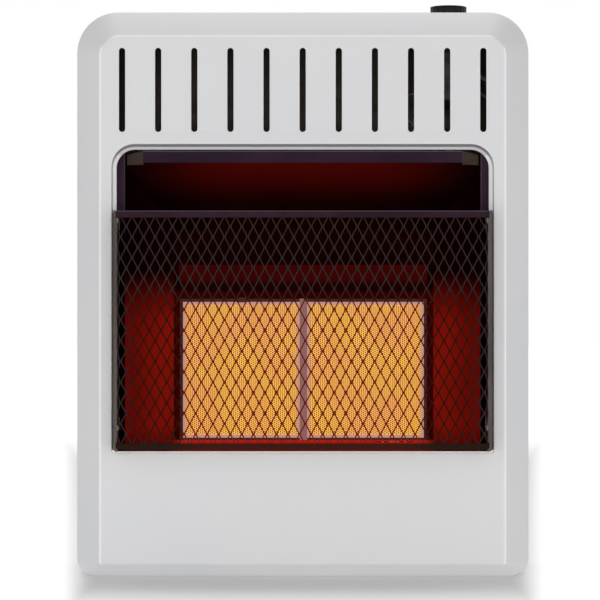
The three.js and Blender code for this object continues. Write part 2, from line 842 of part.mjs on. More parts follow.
// Ceramic plaque with its front edge eased.
function plaque(name, side) {
  const x = side * plaqueCentre();
  const front = frameFrontY + frameWall + clearance;
  const outline = (inset) => rectangle(
    x - plaqueWidth / 2 + inset, x + plaqueWidth / 2 - inset,
    burnerCentre - plaqueHeight / 2 + inset, burnerCentre + plaqueHeight / 2 - inset);
  const body = loft([
    ringAtY(outline(0), front + plaqueThickness),
    ringAtY(outline(0), front + plaqueChamfer),
    ringAtY(outline(plaqueChamfer), front),
  ]);
  place(name, body, plaqueCeramic);
}

// Fibre gasket with one window for each plaque.
function gasket() {
  const half = frameHalf - frameWall - clearance;
  const rise = frameRise - frameWall - clearance;
  const back = frameBackY;
  const slab = block(
    -half, half, back - gasketThickness, back, burnerCentre - rise, burnerCentre + rise);
  const windows = [-1, 1].map((side) => {
    const x = side * plaqueCentre();
    const reach = plaqueWidth / 2 - gasketBorder;
    const lift = plaqueHeight / 2 - gasketBorder;
    return block(
      x - reach, x + reach, back - gasketThickness - overrun, back + overrun,
      burnerCentre - lift, burnerCentre + lift);
  });
  place('plaque_gasket', slab.subtract(join(windows)), gasketFibre);
}

// Pressed burner box behind the plaques, open towards them, with a hole for the mixing tube.
function plenum() {
  const outline = (inset) => rectangle(
    -frameHalf + inset, frameHalf - inset, frameBottom + inset, frameTop - inset);
  const flange = alongY(outline(0), plenumY, plenumY + plenumSheet);
  const outside = loft([
    ringAtY(outline(plenumInset), plenumY),
    ringAtY(outline(plenumInset + plenumDraft), plenumBackY),
  ]);
  const inside = loft([
    ringAtY(outline(plenumInset + plenumSheet), plenumY - overrun),
    ringAtY(outline(plenumInset + plenumDraft + plenumSheet), plenumBackY - plenumSheet),
  ]);
  const tubeHole = sideBoss(
    plenumSideX - plenumInset, plenumSideX + plenumInset + plenumDraft, venturiY, venturiZ,
    venturiOutletRadius + clearance, 20);
  const body = flange.add(outside).subtract(inside).subtract(tubeHole);
  place('plenum', body, burnerSteel);
}

// Mixing tube: outlet in the burner box, a throat, and a bell mouth facing the injector.
function venturi() {
  const flare = venturiThroatRadius
    + (venturiMouthRadius - venturiThroatRadius) * venturiFlareShare;
  const radii = [
    venturiOutletRadius, venturiOutletRadius, venturiThroatRadius, venturiThroatRadius, flare,
    venturiMouthRadius,
  ];
  const outer = radii.map((radius, i) => [radius, venturiPlaceShares[i] * venturiLength]);
  const inner = outer.map(([radius, along]) => [radius - venturiWall, along]).reverse();
  const profile = [...outer, ...inner, outer[0]];
  place('venturi', turnedAlongX(profile, 16, venturiX, venturiY, venturiZ), burnerSteel);
}

// Brass injector with a hexagonal body and an upright tube boss.
function injector() {
  const collarX = injectorX + injectorNozzleLength;
  const end = injectorBodyX + injectorBodyLength;
  const nozzle = sideBoss(
    injectorX, collarX + overrun, venturiY, venturiZ, injectorNozzleRadius, 12);
  const collar = sideBoss(
    collarX, injectorBodyX + overrun, venturiY, venturiZ, injectorCollarRadius, 16);
  const body = sideBoss(injectorBodyX, end, venturiY, venturiZ, injectorBodyRadius, 6);
  const boss = alongZ(
    circle(injectorBossX, venturiY, gasTubeRadius + sheet, 12), venturiZ, injectorBossTop);
  place('injector', join([nozzle, collar, body, boss]), brass);
}

// Angle plate that carries the injector from the back panel.
function injectorBracket() {
  const x = injectorX + injectorNozzleLength + (injectorCollarLength - bracketSheet) / 2;
  const low = venturiZ - injectorPlateHalf;
  const high = venturiZ + injectorPlateHalf;
  const back = backPanelY - clearance;
  const plate = block(x, x + bracketSheet, venturiY - injectorPlateHalf, back, low, high);
  const foot = block(x, x + injectorFoot, back - bracketSheet, back, low, high);
  const hole = sideBoss(
    x - overrun, x + bracketSheet + overrun, venturiY, venturiZ,
    injectorCollarRadius + clearance, 16);
  place('injector_bracket', plate.add(foot).subtract(hole), galvanised);
}

// Z-shaped strip that holds the burner box off the back panel.
function burnerBracket(name, side) {
  const near = plenumBackY + clearance;
  const far = backPanelY - clearance - bracketSheet;
  const path = [
    at(near, burnerCentre - burnerBracketLeg), at(near, burnerCentre),
    at(far, burnerCentre), at(far, burnerCentre + burnerBracketLeg),
  ];
  const x = side * burnerBracketOffset;
  const half = burnerBracketWidth / 2;
  place(name, alongX(band(path, 0, -bracketSheet), x - half, x + half), galvanised);
}

// Spring clip over the top edge of the plaque frame.
function plaqueClip() {
  const front = frameFrontY - clearance;
  const top = frameTop + clearance;
  const path = [
    at(front, frameTop - clipDrop), at(front, top), at(fireBackY - clearance - fireSheet, top),
  ];
  const body = alongX(
    band(path, 0, fireSheet), -clipOffset - clipWidth / 2, -clipOffset + clipWidth / 2);
  place('plaque_clip', body, frameSteel);
}

// A convex outline cut back to a rectangle.
function clipped(points, x0, x1, y0, y1) {
  const rooms = [(p) => p.x - x0, (p) => x1 - p.x, (p) => p.y - y0, (p) => y1 - p.y];
  return rooms.reduce((shape, room) => shape.flatMap((p, i) => {
    const next = shape[(i + 1) % shape.length];
    const here = room(p);
    const there = room(next);
    const kept = here >= 0 ? [p] : [];
    if (here * there < 0) {
      kept.push(p.clone().lerp(next, here / (here - there)));
    }
    return kept;
  }), points);
}

// Diamond gaps of expanded metal that fill a rectangle with whole and half diamonds.
function diamonds(x0, x1, z0, z1, columns, rows) {
  const halfX = (x1 - x0) / columns / 2;
  const halfZ = (z1 - z0) / rows / 2;
  const reach = (halfX * halfZ) / Math.hypot(halfX, halfZ);
  const open = 1 - strandWidth / 2 / reach;
  const edge = strandWidth / 2;
  const gaps = [];
  for (let row = 0; row <= 2 * rows; row += 1) {
    for (let column = row % 2 ? 1 : 0; column <= 2 * columns; column += 2) {
      const x = x0 + column * halfX;
      const z = z0 + row * halfZ;
      const diamond = [
        at(x - halfX * open, z), at(x, z - halfZ * open), at(x + halfX * open, z),
        at(x, z + halfZ * open),
      ];
      const gap = clipped(diamond, x0 + edge, x1 - edge, z0 + edge, z1 - edge);
      if (gap.length > 2) {
        gaps.push(gap);
      }
    }
  }
  return gaps;
}

// Half of the guard's flat front, where its rounded corners begin.
const guardFlatHalf = () => guardPath()[guardCornerSteps + 2].x;

// Squares off what reaches back past the guard's rear edge, just short of the casing's lip.
function endedAtLip(solid) {
  const half = caseWidth / 2;
  return solid.subtract(block(
    -half, half, guardBackEdge, guardBackEdge + guardStandOff, 0, caseHeight));
}

// Front of the guard: a flat sheet of expanded metal whose edges sit in the rails.
function guardMesh() {
  const half = guardFlatHalf() - clearance;
  const low = guardSill + railFold + clearance;
  const high = guardTop - railFold - clearance;
  const gaps = diamonds(
    -half, half, guardSill + railHeight, guardTop - railHeight, meshColumns, meshRows);
  const cutters = new THREE.ExtrudeGeometry(
    gaps.map((gap) => new THREE.Shape(gap)), { depth: guardStandOff, bevelEnabled: false });
  const upright = cutters.rotateX(Math.PI / 2).translate(0, guardY + guardStandOff / 2, 0);
  const sheetBody = block(
    -half, half, guardY + guardSheetIn, guardY + guardSheetOut, low, high);
  place('guard_mesh', sheetBody.subtract(toSolid(upright)), darkEnamel);
}

// Splayed return of the guard: expanded metal round the corner, then a plain strip.
function guardSide(name, side) {
  const path = guardPath();
  const run = side > 0 ? path.slice(guardCornerSteps + 2) : path.slice(0, guardCornerSteps + 2);
  const low = guardSill + railFold + clearance;
  const high = guardTop - railFold - clearance;
  const body = alongZ(band(run, guardSheetIn, guardSheetOut), low, high);
  const start = guardY + guardCornerRadius;
  const gaps = diamonds(
    start, start + sideMeshReach, guardSill + railHeight, guardTop - railHeight, 1, sideMeshRows);
  const reach = side * guardWidth / 2;
  const cuts = gaps.map((gap) => alongX(gap, reach - fireFlange, reach + fireFlange));
  const middle = guardFlatHalf();
  const front = block(
    -middle, middle, guardY - overrun, guardY + guardStandOff / 2, low - overrun,
    high + overrun);
  place(name, endedAtLip(body.subtract(join([...cuts, front]))), darkEnamel);
}

// Folded rail: a channel that runs round the guard and holds the edge of its sheets.
function guardRail(name, low, grooveLow, grooveHigh) {
  const path = guardPath();
  const body = alongZ(band(path, 0, guardInside + railFold), low, low + railHeight);
  const slot = alongZ(band(path, railFold, guardInside), grooveLow, grooveHigh);
  place(name, endedAtLip(body.subtract(slot)), darkEnamel);
}

// Hook of the guard: a plate on the return, a neck through the flange and a finger behind it.
function guardHook(name, side, z) {
  const { path, turnY } = hookPath(side);
  const plan = alongZ(band(path, 0, side * hookSheet), z - hookFinger - overrun, z + hookPlate);
  const tip = path.at(-1).y;
  const front = path[0].y - overrun;
  const neck = hookNeck / 2;
  const profile = [
    at(front, z - hookPlate / 2), at(turnY, z - hookPlate / 2), at(turnY, z - neck),
    at(tip - hookSheet, z - neck), at(tip - hookSheet, z - hookFinger),
    at(tip, z - hookFinger), at(tip, z + neck), at(turnY, z + neck),
    at(turnY, z + hookPlate / 2), at(front, z + hookPlate / 2),
  ];
  place(name, plan.intersect(alongX(profile, -caseWidth / 2, caseWidth / 2)), darkEnamel);
}

// Round well in the casing's top that the knob stands in.
function knobWell() {
  const outer = wellRadius + wellWall;
  const rim = caseHeight + clearance;
  const profile = [
    [wellHole, wellFloor], [outer, wellFloor], [outer, rim], [outer + wellRim, rim],
    [outer + wellRim, rim + wellWall / 2], [outer, rim + wellWall], [wellRadius, rim + wellWall],
    [wellRadius, wellFloor + wellWall], [wellHole, wellFloor + wellWall],
    [wellHole, wellFloor],
  ];
  place('knob_well', turned(profile, 28, knobX, knobY), knobPlastic);
}

// Knob: a crowned disc with a fluted grip over a short skirt, and a hub with a keyed bore.
function controlKnob() {
  const grip = knobRadius;
  const shoulder = knobTop - knobCrown - knobEdge;
  const rounding = Array.from({ length: knobEdgeSteps + 1 }, (_, i) => {
    const angle = (i / knobEdgeSteps) * (Math.PI / 2);
    return [
      grip - knobEdge + knobEdge * Math.cos(angle), shoulder + knobEdge * Math.sin(angle),
    ];
  });
  const profile = [
    [0, knobBottom - knobHubDrop], [knobHubRadius, knobBottom - knobHubDrop],
    [knobHubRadius, knobBottom], [grip, knobBottom], ...rounding,
    [grip / 2, knobTop - knobCrown / 4], [0, knobTop],
  ];
  const flutes = Array.from({ length: gripCount }, (_, i) => {
    const angle = ((i + 1 / 2) / gripCount) * 2 * Math.PI;
    const x = knobX + (grip + gripRadius / 2) * Math.cos(angle);
    const y = knobY + (grip + gripRadius / 2) * Math.sin(angle);
    return alongZ(circle(x, y, gripRadius, 4), knobBottom + knobSkirt, shoulder);
  });
  const bore = stemSection(clearance, knobBottom - knobHubDrop - overrun,
    knobBottom - knobHubDrop + stemInKnob + clearance);
  const body = turned(profile, 36, knobX, knobY).subtract(join(flutes)).subtract(bore);
  place('control_knob', body, knobPlastic);
}

// Length of the stem's section, a round with one flat, grown by a clearance.
function stemSection(grow, from, to) {
  const round = alongZ(circle(knobX, knobY, stemRadius + grow, 16), from, to);
  const flat = block(
    knobX - stemRadius - overrun, knobX + stemRadius + overrun,
    knobY - stemRadius - overrun, knobY - stemRadius + stemFlat - grow,
    from - overrun, to + overrun);
  return round.subtract(flat);
}

function valveStem() {
  const top = knobBottom - knobHubDrop + stemInKnob;
  place('valve_stem', stemSection(0, plugTop - stemInPlug, top), springSteel);
}

// Rotating plug of the valve, with the keyed bore that the stem slides in.
function valvePlug() {
  const profile = [
    [0, plugZ - plugShaftLength], [plugShaftRadius, plugZ - plugShaftLength],
    [plugShaftRadius, plugZ], [plugDiscRadius, plugZ], [plugDiscRadius, plugTop], [0, plugTop],
  ];
  const bore = stemSection(clearance, plugZ - plugShaftLength - overrun, plugTop + overrun);
  place('valve_plug', turned(profile, 20, knobX, knobY).subtract(bore), brass);
}

// Return spring between the plug and the knob's hub, one unbroken helix with closed ends.
function knobSpring() {
  const steps = springTurns * springStepShare;
  const wire = springWire / 2;
  const low = plugTop + clearance + wire;
  const high = knobBottom - knobHubDrop - clearance - wire;
  const rings = Array.from({ length: steps + 1 }, (_, i) => {
    const angle = (i / springStepShare) * 2 * Math.PI;
    const z = low + (high - low) * (i / steps);
    return Array.from({ length: springSides }, (_item, k) => {
      const around = (k / springSides) * 2 * Math.PI;
      const radius = springRadius + wire * Math.cos(around);
      return new THREE.Vector3(
        knobX + radius * Math.cos(angle), knobY + radius * Math.sin(angle),
        z + wire * Math.sin(around));
    });
  });
  place('knob_spring', loft(rings), springSteel);
}

// A hexagonal or round boss along X, from one X to another.
function sideBoss(x0, x1, y, z, radius, sides) {
  return turnedAlongX(
    [[0, 0], [radius, 0], [radius, x1 - x0], [0, x1 - x0]], sides, x0, y, z);
}

// Cast valve body with its bonnet, gas ports on the right and small ports for pilot and sensor.
function valveBody() {
  const half = valveWidth / 2;
  const casting = block(
    knobX - half, knobX + half, knobY - valveDepth / 2, knobY + valveDepth / 2,
    valveBottom, valveTop);
  const bonnet = alongZ(
    circle(knobX, knobY, bonnetRadius, 20), valveTop - overrun, valveTop + bonnetHeight);
  const bore = alongZ(
    circle(knobX, knobY, plugShaftRadius + clearance, 20),
    plugZ - plugShaftLength - clearance - knobPush, valveTop + bonnetHeight + overrun);
  const start = knobX + half - overrun;
  const bosses = [
    sideBoss(start, portX, inletPortY, portZ, portRadius, 6),
    sideBoss(start, portX, outletPortY, portZ, portRadius, 6),
    sideBoss(start, portX, knobY, smallPortZ, smallPortRadius, 6),
    sideBoss(knobX - half - portLength, knobX - half + overrun, knobY - portSpread,
      smallPortZ, smallPortRadius, 6),
    sideBoss(knobX - half - portLength, knobX - half + overrun, knobY + portSpread,
      smallPortZ, smallPortRadius, 6),
  ];
  place('valve_body', join([casting, bonnet, ...bosses]).subtract(bore), castAluminium);
}

// A shelf out from the back panel with a flange turned down against it.
function wallShelf(name, x0, x1, frontY, z, drop) {
  const back = backPanelY - clearance;
  const shelf = block(x0, x1, frontY, back, z - bracketSheet, z);
  const flange = block(x0, x1, back - bracketSheet, back, z - drop, z);
  place(name, shelf.add(flange), galvanised);
}

// Diaphragm regulator with a rim, a domed top and cap, and bosses for inlet and outlet.
function regulator() {
  const rimZ = regulatorBottom + regulatorHeight / 3;
  const top = regulatorBottom + regulatorHeight;
  const profile = [
    [0, regulatorBottom], [regulatorFootRadius, regulatorBottom],
    [regulatorRadius, rimZ - regulatorRim], [regulatorRimRadius, rimZ - regulatorRim / 2],
    [regulatorRimRadius, rimZ + regulatorRim / 2], [regulatorRadius, rimZ + regulatorRim / 2],
    [regulatorShoulderRadius, top - regulatorRim], [regulatorCrownRadius, top],
    [regulatorCapRadius, top], [regulatorCapRadius, top + regulatorCapHeight],
    [0, top + regulatorCapHeight],
  ];
  const inlet = alongY(
    circle(regulatorX, regulatorMiddle, inletBossRadius, 12),
    regulatorY, regulatorY + inletBossLength);
  const outlet = sideBoss(
    regulatorX, regulatorX + outletBossLength, regulatorY, regulatorMiddle, portRadius, 6);
  const body = join([turned(profile, 24, regulatorX, regulatorY), inlet, outlet]);
  place('regulator', body, castAluminium);
}

// Brass inlet in the regulator's boss: the house pipe screws in from behind the back panel.
function inletFitting() {
  const start = regulatorY + inletBossLength + clearance;
  const end = backY - inletSetback;
  const outline = (radius, sides) => circle(regulatorX, regulatorMiddle, radius, sides);
  const hex = alongY(outline(inletHexRadius, 6), start, start + inletHexLength);
  const pipe = alongY(outline(inletPipeRadius, 20), start, end);
  const bore = alongY(outline(inletBoreRadius, 16), end - inletBoreDepth, end + overrun);
  place('inlet_fitting', hex.add(pipe).subtract(bore), brass);
}

// Route of each tube and lead, from the fitting that it leaves to the one that it enters.
function tubes() {
  const inletRun = innerWall - inletRunInset;
  const burnerRun = innerWall - burnerRunInset;
  const pilotRun = innerWall - pilotRunInset;
  const leadRun = innerWall - leadRunInset;
  const bend = tubeBend;
  const outletX = regulatorX + outletBossLength + clearance;
  place('inlet_tube', rod([
    [outletX, regulatorY, regulatorMiddle],
    [outletX + bend / 2, regulatorY, regulatorMiddle],
    [inletRun, regulatorY, regulatorMiddle + bend * 2],
    [inletRun, regulatorY / 2, portZ / 2],
    [inletRun, inletPortY, portZ - bend * 2],
    [portX + clearance + bend / 2, inletPortY, portZ],
    [portX + clearance, inletPortY, portZ],
  ], gasTubeRadius, tubeSides, tubeSteps), aluminiumTube);
  place('burner_tube', rod([
    [portX + clearance, outletPortY, portZ],
    [portX + clearance + bend / 3, outletPortY, portZ],
    [burnerRun, outletPortY + bend / 3, portZ - bend],
    [burnerRun, (outletPortY + venturiY) / 2, portZ - bend * 4],
    [injectorBossX, venturiY, injectorBossTop + bend * 3],
    [injectorBossX, venturiY, injectorBossTop + bend],
    [injectorBossX, venturiY, injectorBossTop + clearance],
  ], gasTubeRadius, tubeSides, tubeSteps), aluminiumTube);
  const underHearth = hearthZ - pilotPlateDrop - pilotHeight / 2;
  place('pilot_tube', rod([
    [portX + clearance, knobY, smallPortZ],
    [portX + clearance + bend / 3, knobY, smallPortZ],
    [pilotRun, knobY, smallPortZ - bend],
    [pilotRun, knobY, smallPortZ - bend * 4],
    [pilotRun, knobY, hearthZ + bend * 2],
    [pilotRun - bend, (knobY + pilotY) / 2, underHearth],
    [pilotX + bend, pilotY, underHearth - bend / 2],
    [pilotX, pilotY, pilotFoot() - bend / 2],
    [pilotX, pilotY, pilotFoot() - clearance],
  ], pilotTubeRadius, leadSides, tubeSteps), aluminiumTube);
  lead('electrode', 1, leadRun, bend);
  lead('thermocouple', 2, leadRun, bend);
}

const pilotTip = () => hearthAt(pilotY);
const pilotFoot = () => pilotTip() - pilotHeight;
const pilotPlateZ = () => hearthZ - pilotPlateDrop;

// Thermocouple or spark electrode: its tip beside the pilot and its lead up to the valve.
function lead(name, lane, run, bend) {
  const sensor = name === 'thermocouple';
  const x = pilotX + (sensor ? -sensorOffset : sensorOffset);
  const length = sensor ? sensorLength : electrodeLength;
  const tip = pilotTip();
  const body = sensor ? sensorRadius : electrodeRadius;
  const shaftTop = sensor ? tip : tip - electrodePin;
  const shaft = alongZ(circle(x, pilotY, body, 10), tip - length, shaftTop);
  const pin = alongZ(
    circle(x, pilotY, sensor ? sensorRadius / 2 : electrodePinRadius, 8), tip - length, tip);
  const portY = knobY + (sensor ? -portSpread : portSpread);
  const endX = knobX - valveWidth / 2 - portLength - clearance;
  const gap = lane * portRadius;
  const route = rod([
    [x, pilotY, tip - length + overrun],
    [x, pilotY, tip - length - gap],
    [(x + run) / 2, pilotY + bend + gap, tip - length - bend - gap],
    [run - gap / 2, venturiY + gap / 2, tip],
    [run - gap / 2, venturiY + gap / 2, burnerCentre],
    [run - gap / 2, venturiY + gap / 2, smallPortZ - bend * 5],
    [knobX, backPanelY - leadWallGap, smallPortZ - bend * 3 - gap],
    [endX - bend - gap, (knobY + backPanelY) / 2, smallPortZ - gap],
    [endX - bend / 2, portY, smallPortZ],
    [endX, portY, smallPortZ],
  ], leadRadius, leadSides, leadSteps);
  place(name, join([shaft, pin, route]), sensor ? copper : ceramicWhite);
}

// Pilot burner: a slim body with a wider head just under the hearth's window.
function pilotBurner() {
  const tip = pilotTip();
  const foot = pilotFoot();
  const profile = [
    [0, foot], [pilotRadius, foot], [pilotRadius, tip - pilotHeadHeight],
    [pilotHeadRadius, tip - pilotHeadHeight + sheet], [pilotHeadRadius, tip - sheet],
    [pilotHeadRadius - sheet, tip], [0, tip],
  ];
  place('pilot_burner', turned(profile, 16, pilotX, pilotY), brass);
}

// Plate that carries the pilot, sensor and electrode, hung from the underside of the hearth.
function pilotBracket() {
  const z = pilotPlateZ();
  const half = pilotPlateWidth / 2;
  const legY = pilotY - pilotWindowDepth / 2 - bracketSheet - clearance;
  const flangeY = legY - pilotPlateReach;
  const plate = block(
    pilotX - half, pilotX + half, legY, pilotY + pilotPlateReach, z - bracketSheet, z);
  const under = (y) => hearthAt(y) - fireSheet - clearance;
  const leg = alongX(
    [
      at(legY + bracketSheet, z - bracketSheet), at(legY + bracketSheet, under(legY)),
      at(flangeY, under(flangeY)), at(flangeY, under(flangeY) - bracketSheet),
      at(legY, under(legY) - bracketSheet), at(legY, z - bracketSheet),
    ],
    pilotX - half, pilotX + half);
  const holes = [
    [pilotX, pilotRadius], [pilotX - sensorOffset, sensorRadius],
    [pilotX + sensorOffset, electrodeRadius],
  ].map(([x, radius]) => alongZ(
    circle(x, pilotY, radius + clearance, 12), z - bracketSheet - overrun, z + overrun));
  place('pilot_bracket', plate.add(leg).subtract(join(holes)), galvanised);
}

frontPanel();
cabinet();
backPanel();
guardMesh();
guardSide('guard_left_side', -1);
guardSide('guard_right_side', 1);
guardRail(
  'guard_top_rail', guardTop - railHeight, guardTop - railHeight - overrun, guardTop - railFold);
guardRail(
  'guard_bottom_rail', guardSill, guardSill + railFold, guardSill + railHeight + overrun);
guardHook('guard_hook_upper_left', -1, hookLevels[1]);
guardHook('guard_hook_lower_left', -1, hookLevels[0]);
guardHook('guard_hook_upper_right', 1, hookLevels[1]);
guardHook('guard_hook_lower_right', 1, hookLevels[0]);
hood();
sideReflector('left_reflector', -1);
sideReflector('right_reflector', 1);
hearth();
backReflector();
visor();
plaqueFrame();
plaque('left_plaque', -1);
plaque('right_plaque', 1);
gasket();
plenum();
plaqueClip();
burnerBracket('burner_bracket_left', -1);
burnerBracket('burner_bracket_right', 1);
venturi();
injector();
injectorBracket();
knobWell();
controlKnob();
valveStem();
valvePlug();
knobSpring();
valveBody();
wallShelf(
  'valve_bracket', knobX - valveWidth / 2 - shelfMargin, knobX + valveWidth / 2 + shelfMargin,
  knobY - valveDepth / 2 - shelfMargin, valveBottom - clearance, shelfDrop);
regulator();
wallShelf(
  'regulator_bracket', regulatorX - regulatorRimRadius, regulatorX + regulatorRimRadius,
  regulatorY - regulatorRimRadius, regulatorBottom - clearance, regulatorShelfDrop);
inletFitting();
tubes();
pilotBurner();
pilotBracket();

export default heater;
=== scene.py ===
import math
import bmesh
import bpy
import numpy as np
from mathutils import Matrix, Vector
from mathutils.geometry import tessellate_polygon


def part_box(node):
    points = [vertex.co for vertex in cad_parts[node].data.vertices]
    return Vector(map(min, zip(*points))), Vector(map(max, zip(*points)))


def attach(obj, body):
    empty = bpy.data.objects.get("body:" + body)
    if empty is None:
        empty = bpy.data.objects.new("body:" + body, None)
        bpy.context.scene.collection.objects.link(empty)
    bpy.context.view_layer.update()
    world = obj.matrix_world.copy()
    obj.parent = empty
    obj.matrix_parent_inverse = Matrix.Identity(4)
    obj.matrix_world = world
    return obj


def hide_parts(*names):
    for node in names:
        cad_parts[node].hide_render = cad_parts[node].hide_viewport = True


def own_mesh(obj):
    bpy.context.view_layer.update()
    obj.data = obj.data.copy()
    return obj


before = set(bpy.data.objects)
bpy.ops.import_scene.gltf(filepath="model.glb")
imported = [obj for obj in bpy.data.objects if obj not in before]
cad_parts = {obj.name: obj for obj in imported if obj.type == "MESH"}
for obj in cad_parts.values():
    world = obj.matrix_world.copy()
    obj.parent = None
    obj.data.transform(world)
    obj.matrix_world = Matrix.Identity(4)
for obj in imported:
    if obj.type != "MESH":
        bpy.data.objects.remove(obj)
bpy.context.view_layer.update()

# Camera
# A long lens square to the front, level with the top of the plaques and 2.6 m from the
# casing's face. It stands a little right of the middle, in a picture cropped to the casing.
camera_place = (0.018, -2.670, 0.2904)


def new_object(name, data):
    """An object in the scene, at the origin, that holds the data."""
    made = bpy.data.objects.new(name, data)
    bpy.context.scene.collection.objects.link(made)
    return made


camera = new_object("camera", bpy.data.cameras.new("camera"))
camera.data.sensor_width = 36.0
camera.data.lens = 149.9
camera.data.shift_x = -0.0333
camera.location = camera_place
camera.rotation_euler = (math.pi / 2, 0.0, 0.0)
bpy.context.scene.camera = camera

# Front panel
# Pressed steel with a broad bevel, eleven air slots and a window whose lip is set back. It is
# powder coated pale grey, and its skirt slips over the cabinet.
case_low, case_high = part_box("front_panel")
case_half = case_high.x
case_top = case_high.z
face_y = case_low.y
skirt_y = case_high.y
sheet = 0.0012
bevel_depth = 0.028
bevel_side = 0.0265
bevel_top = 0.0278
bevel_bottom = 0.0151
case_radii = (0.019, 0.043)
crease_radii = (0.003, 0.020)
press_radius = 0.0022
crease_round = 0.0014
margin = 0.0006
slot_count = 11
slot_pitch = 0.0376
slot_half = 0.0032
slot_edge = 0.0004
slot_low = 0.4653
slot_high = 0.5528
window_half = 0.194
window_sill = 0.1326
window_top = 0.4471
window_radii = (0.0012, 0.019)
step_edge = np.array((0.0049, 0.0058))
ledge_edge = np.array((0.0041, 0.0027))
lip_bottom = 0.0015
lip_recess = 0.0035
lip_return = 0.0042
lip_radius = 0.0007
lip_y = face_y + lip_recess
corner_steps = 12
bend_steps = 4
slot_steps = 8
# Bounds and shares of the painted shade round the window.
step_reach = 0.2005
ledge_reach = (0.1935, 0.2)
ledge_top = 0.384
step_shade_share = 0.55
brow_shade_share = 0.42
black = (0.0, 0.0, 0.0)
merge_distance = 1e-6
sharp_angle = math.radians(32.0)


def on_circle(x, z, radius, turn):
    """Points at a radius round a centre, at the angles given."""
    return np.column_stack((x + radius * np.cos(turn), z + radius * np.sin(turn)))


def arch(half, bottom, top, radii):
    """Upright rectangle with one corner radius below and one above: a quarter circle of
    points about each corner's centre, counter-clockwise from the bottom right."""
    low, high = radii
    turn = np.linspace(0.0, np.pi / 2, corner_steps + 1)
    corners = (
        (half - low, bottom + low, low, -np.pi / 2),
        (half - high, top - high, high, 0.0),
        (high - half, top - high, high, np.pi / 2),
        (low - half, bottom + low, low, np.pi),
    )
    return np.vstack([on_circle(x, z, r, start + turn) for x, z, r, start in corners])


def at_depth(outline, y):
    """The outline's points, (x, z), stood up at one depth."""
    return np.column_stack((outline[:, 0], np.full(len(outline), y), outline[:, 1]))


def at_height(outline, z):
    """The outline's points, (x, y), laid flat at one height."""
    return np.column_stack((outline, np.full(len(outline), z)))


def bent(before, corner, after, steps=bend_steps):
    """Rounded bend: the quadratic curve that leaves one ring and reaches the next, drawn
    towards the ring where the two flat faces would have met."""
    t = np.linspace(0.0, 1.0, steps + 1)[:, None, None]
    return (1 - t) ** 2 * before + 2 * t * (1 - t) * corner + t ** 2 * after


def wrapped(rings):
    """Faces between neighbouring closed rings of equal count, as one skin. Each item is one
    ring or a stack of rings."""
    rings = np.concatenate([r if r.ndim == 3 else r[None] for r in rings])
    rows, count = rings.shape[:2]
    i = np.arange(count)
    j = (i + 1) % count
    start = np.arange(rows - 1)[:, None] * count
    faces = np.stack((start + i, start + j, start + count + j, start + count + i), axis=-1)
    return rings.reshape(-1, 3), faces.reshape(-1, 4).tolist()


def capped(rings):
    """The rings as one skin, closed by a face on the first ring and one on the last."""
    points, faces = wrapped(rings)
    count = rings[0].shape[-2]
    return points, faces + [list(range(count)), list(range(len(points) - count, len(points)))]


def punched(loops):
    """Flat sheet between its outer loop and the loops of its holes, cut into triangles."""
    flat = [[Vector(p) for p in loop.tolist()] for loop in loops]
    faces = [list(face) for face in tessellate_polygon(flat)]
    return np.vstack(loops), faces


def stitched(*skins):
    """Several skins as one list of points and one list of faces."""
    starts = np.cumsum([0] + [len(points) for points, _ in skins])
    faces = [
        [k + int(start) for k in face]
        for start, (_, group) in zip(starts, skins) for face in group]
    return np.vstack([points for points, _ in skins]), faces


def piece(name, skin, finish, outward=None, wall=0.0, body="root"):
    """One finished piece: its skin is merged, faced outwards (an open sheet by the direction
    that its widest face looks in), given its wall, and shaded smooth between its edges."""
    points, faces = skin
    mesh = bpy.data.meshes.new(name)
    mesh.from_pydata(points.tolist(), [], faces)
    shape = bmesh.new()
    shape.from_mesh(mesh)
    bmesh.ops.remove_doubles(shape, verts=shape.verts, dist=merge_distance)
    bmesh.ops.recalc_face_normals(shape, faces=shape.faces)
    if outward is not None:
        widest = max(shape.faces, key=lambda face: face.calc_area())
        if widest.normal.dot(Vector(outward)) < 0:
            bmesh.ops.reverse_faces(shape, faces=shape.faces)
    if wall:
        parts = shape.verts[:] + shape.edges[:] + shape.faces[:]
        bmesh.ops.solidify(shape, geom=parts, thickness=wall)
    shape.to_mesh(mesh)
    shape.free()
    mesh.shade_smooth()
    mesh.set_sharp_from_angle(angle=sharp_angle)
    mesh.materials.append(finish)
    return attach(new_object(name, mesh), body)


def new_finish(name, colour, roughness, metallic=0.0, specular=0.5):
    """A material with its shader's plain values set, its node tree and its coordinates."""
    finish = bpy.data.materials.new(name)
    finish.use_nodes = True
    tree = finish.node_tree
    shader = tree.nodes["Principled BSDF"]
    for socket, value in (("Base Color", (*colour, 1.0)), ("Roughness", roughness),
                          ("Metallic", metallic), ("Specular IOR Level", specular)):
        shader.inputs[socket].default_value = value
    place = tree.nodes.new("ShaderNodeTexCoord").outputs["Object"]
    return finish, tree, shader, place


def added(tree, kind, inputs, **settings):
    """A node of one kind with its settings and its inputs. An input takes another socket's
    value, a plain number, or a colour as a triple."""
    node = tree.nodes.new("ShaderNode" + kind)
    for name, value in settings.items():
        setattr(node, name, value)
    for name, value in inputs.items():
        if isinstance(value, bpy.types.NodeSocket):
            tree.links.new(value, node.inputs[name])
        else:
            node.inputs[name].default_value = (*value, 1.0) if isinstance(value, tuple) else value
    return node


def noise(tree, place, scale, detail=2.0):
    """Values of a noise on the piece's own coordinates."""
    inputs = {"Vector": place, "Scale": scale, "Detail": detail}
    return added(tree, "TexNoise", inputs).outputs["Fac"]


def axes(tree, vector):
    """The three coordinates of a vector, as sockets named X, Y and Z."""
    return added(tree, "SeparateXYZ", {"Vector": vector}).outputs


def along(tree, parts, axis):
    """One of the coordinates, as a value; x is measured from the middle."""
    return math_node(tree, "ABSOLUTE", parts["X"]) if axis == "x" else parts[axis.upper()]


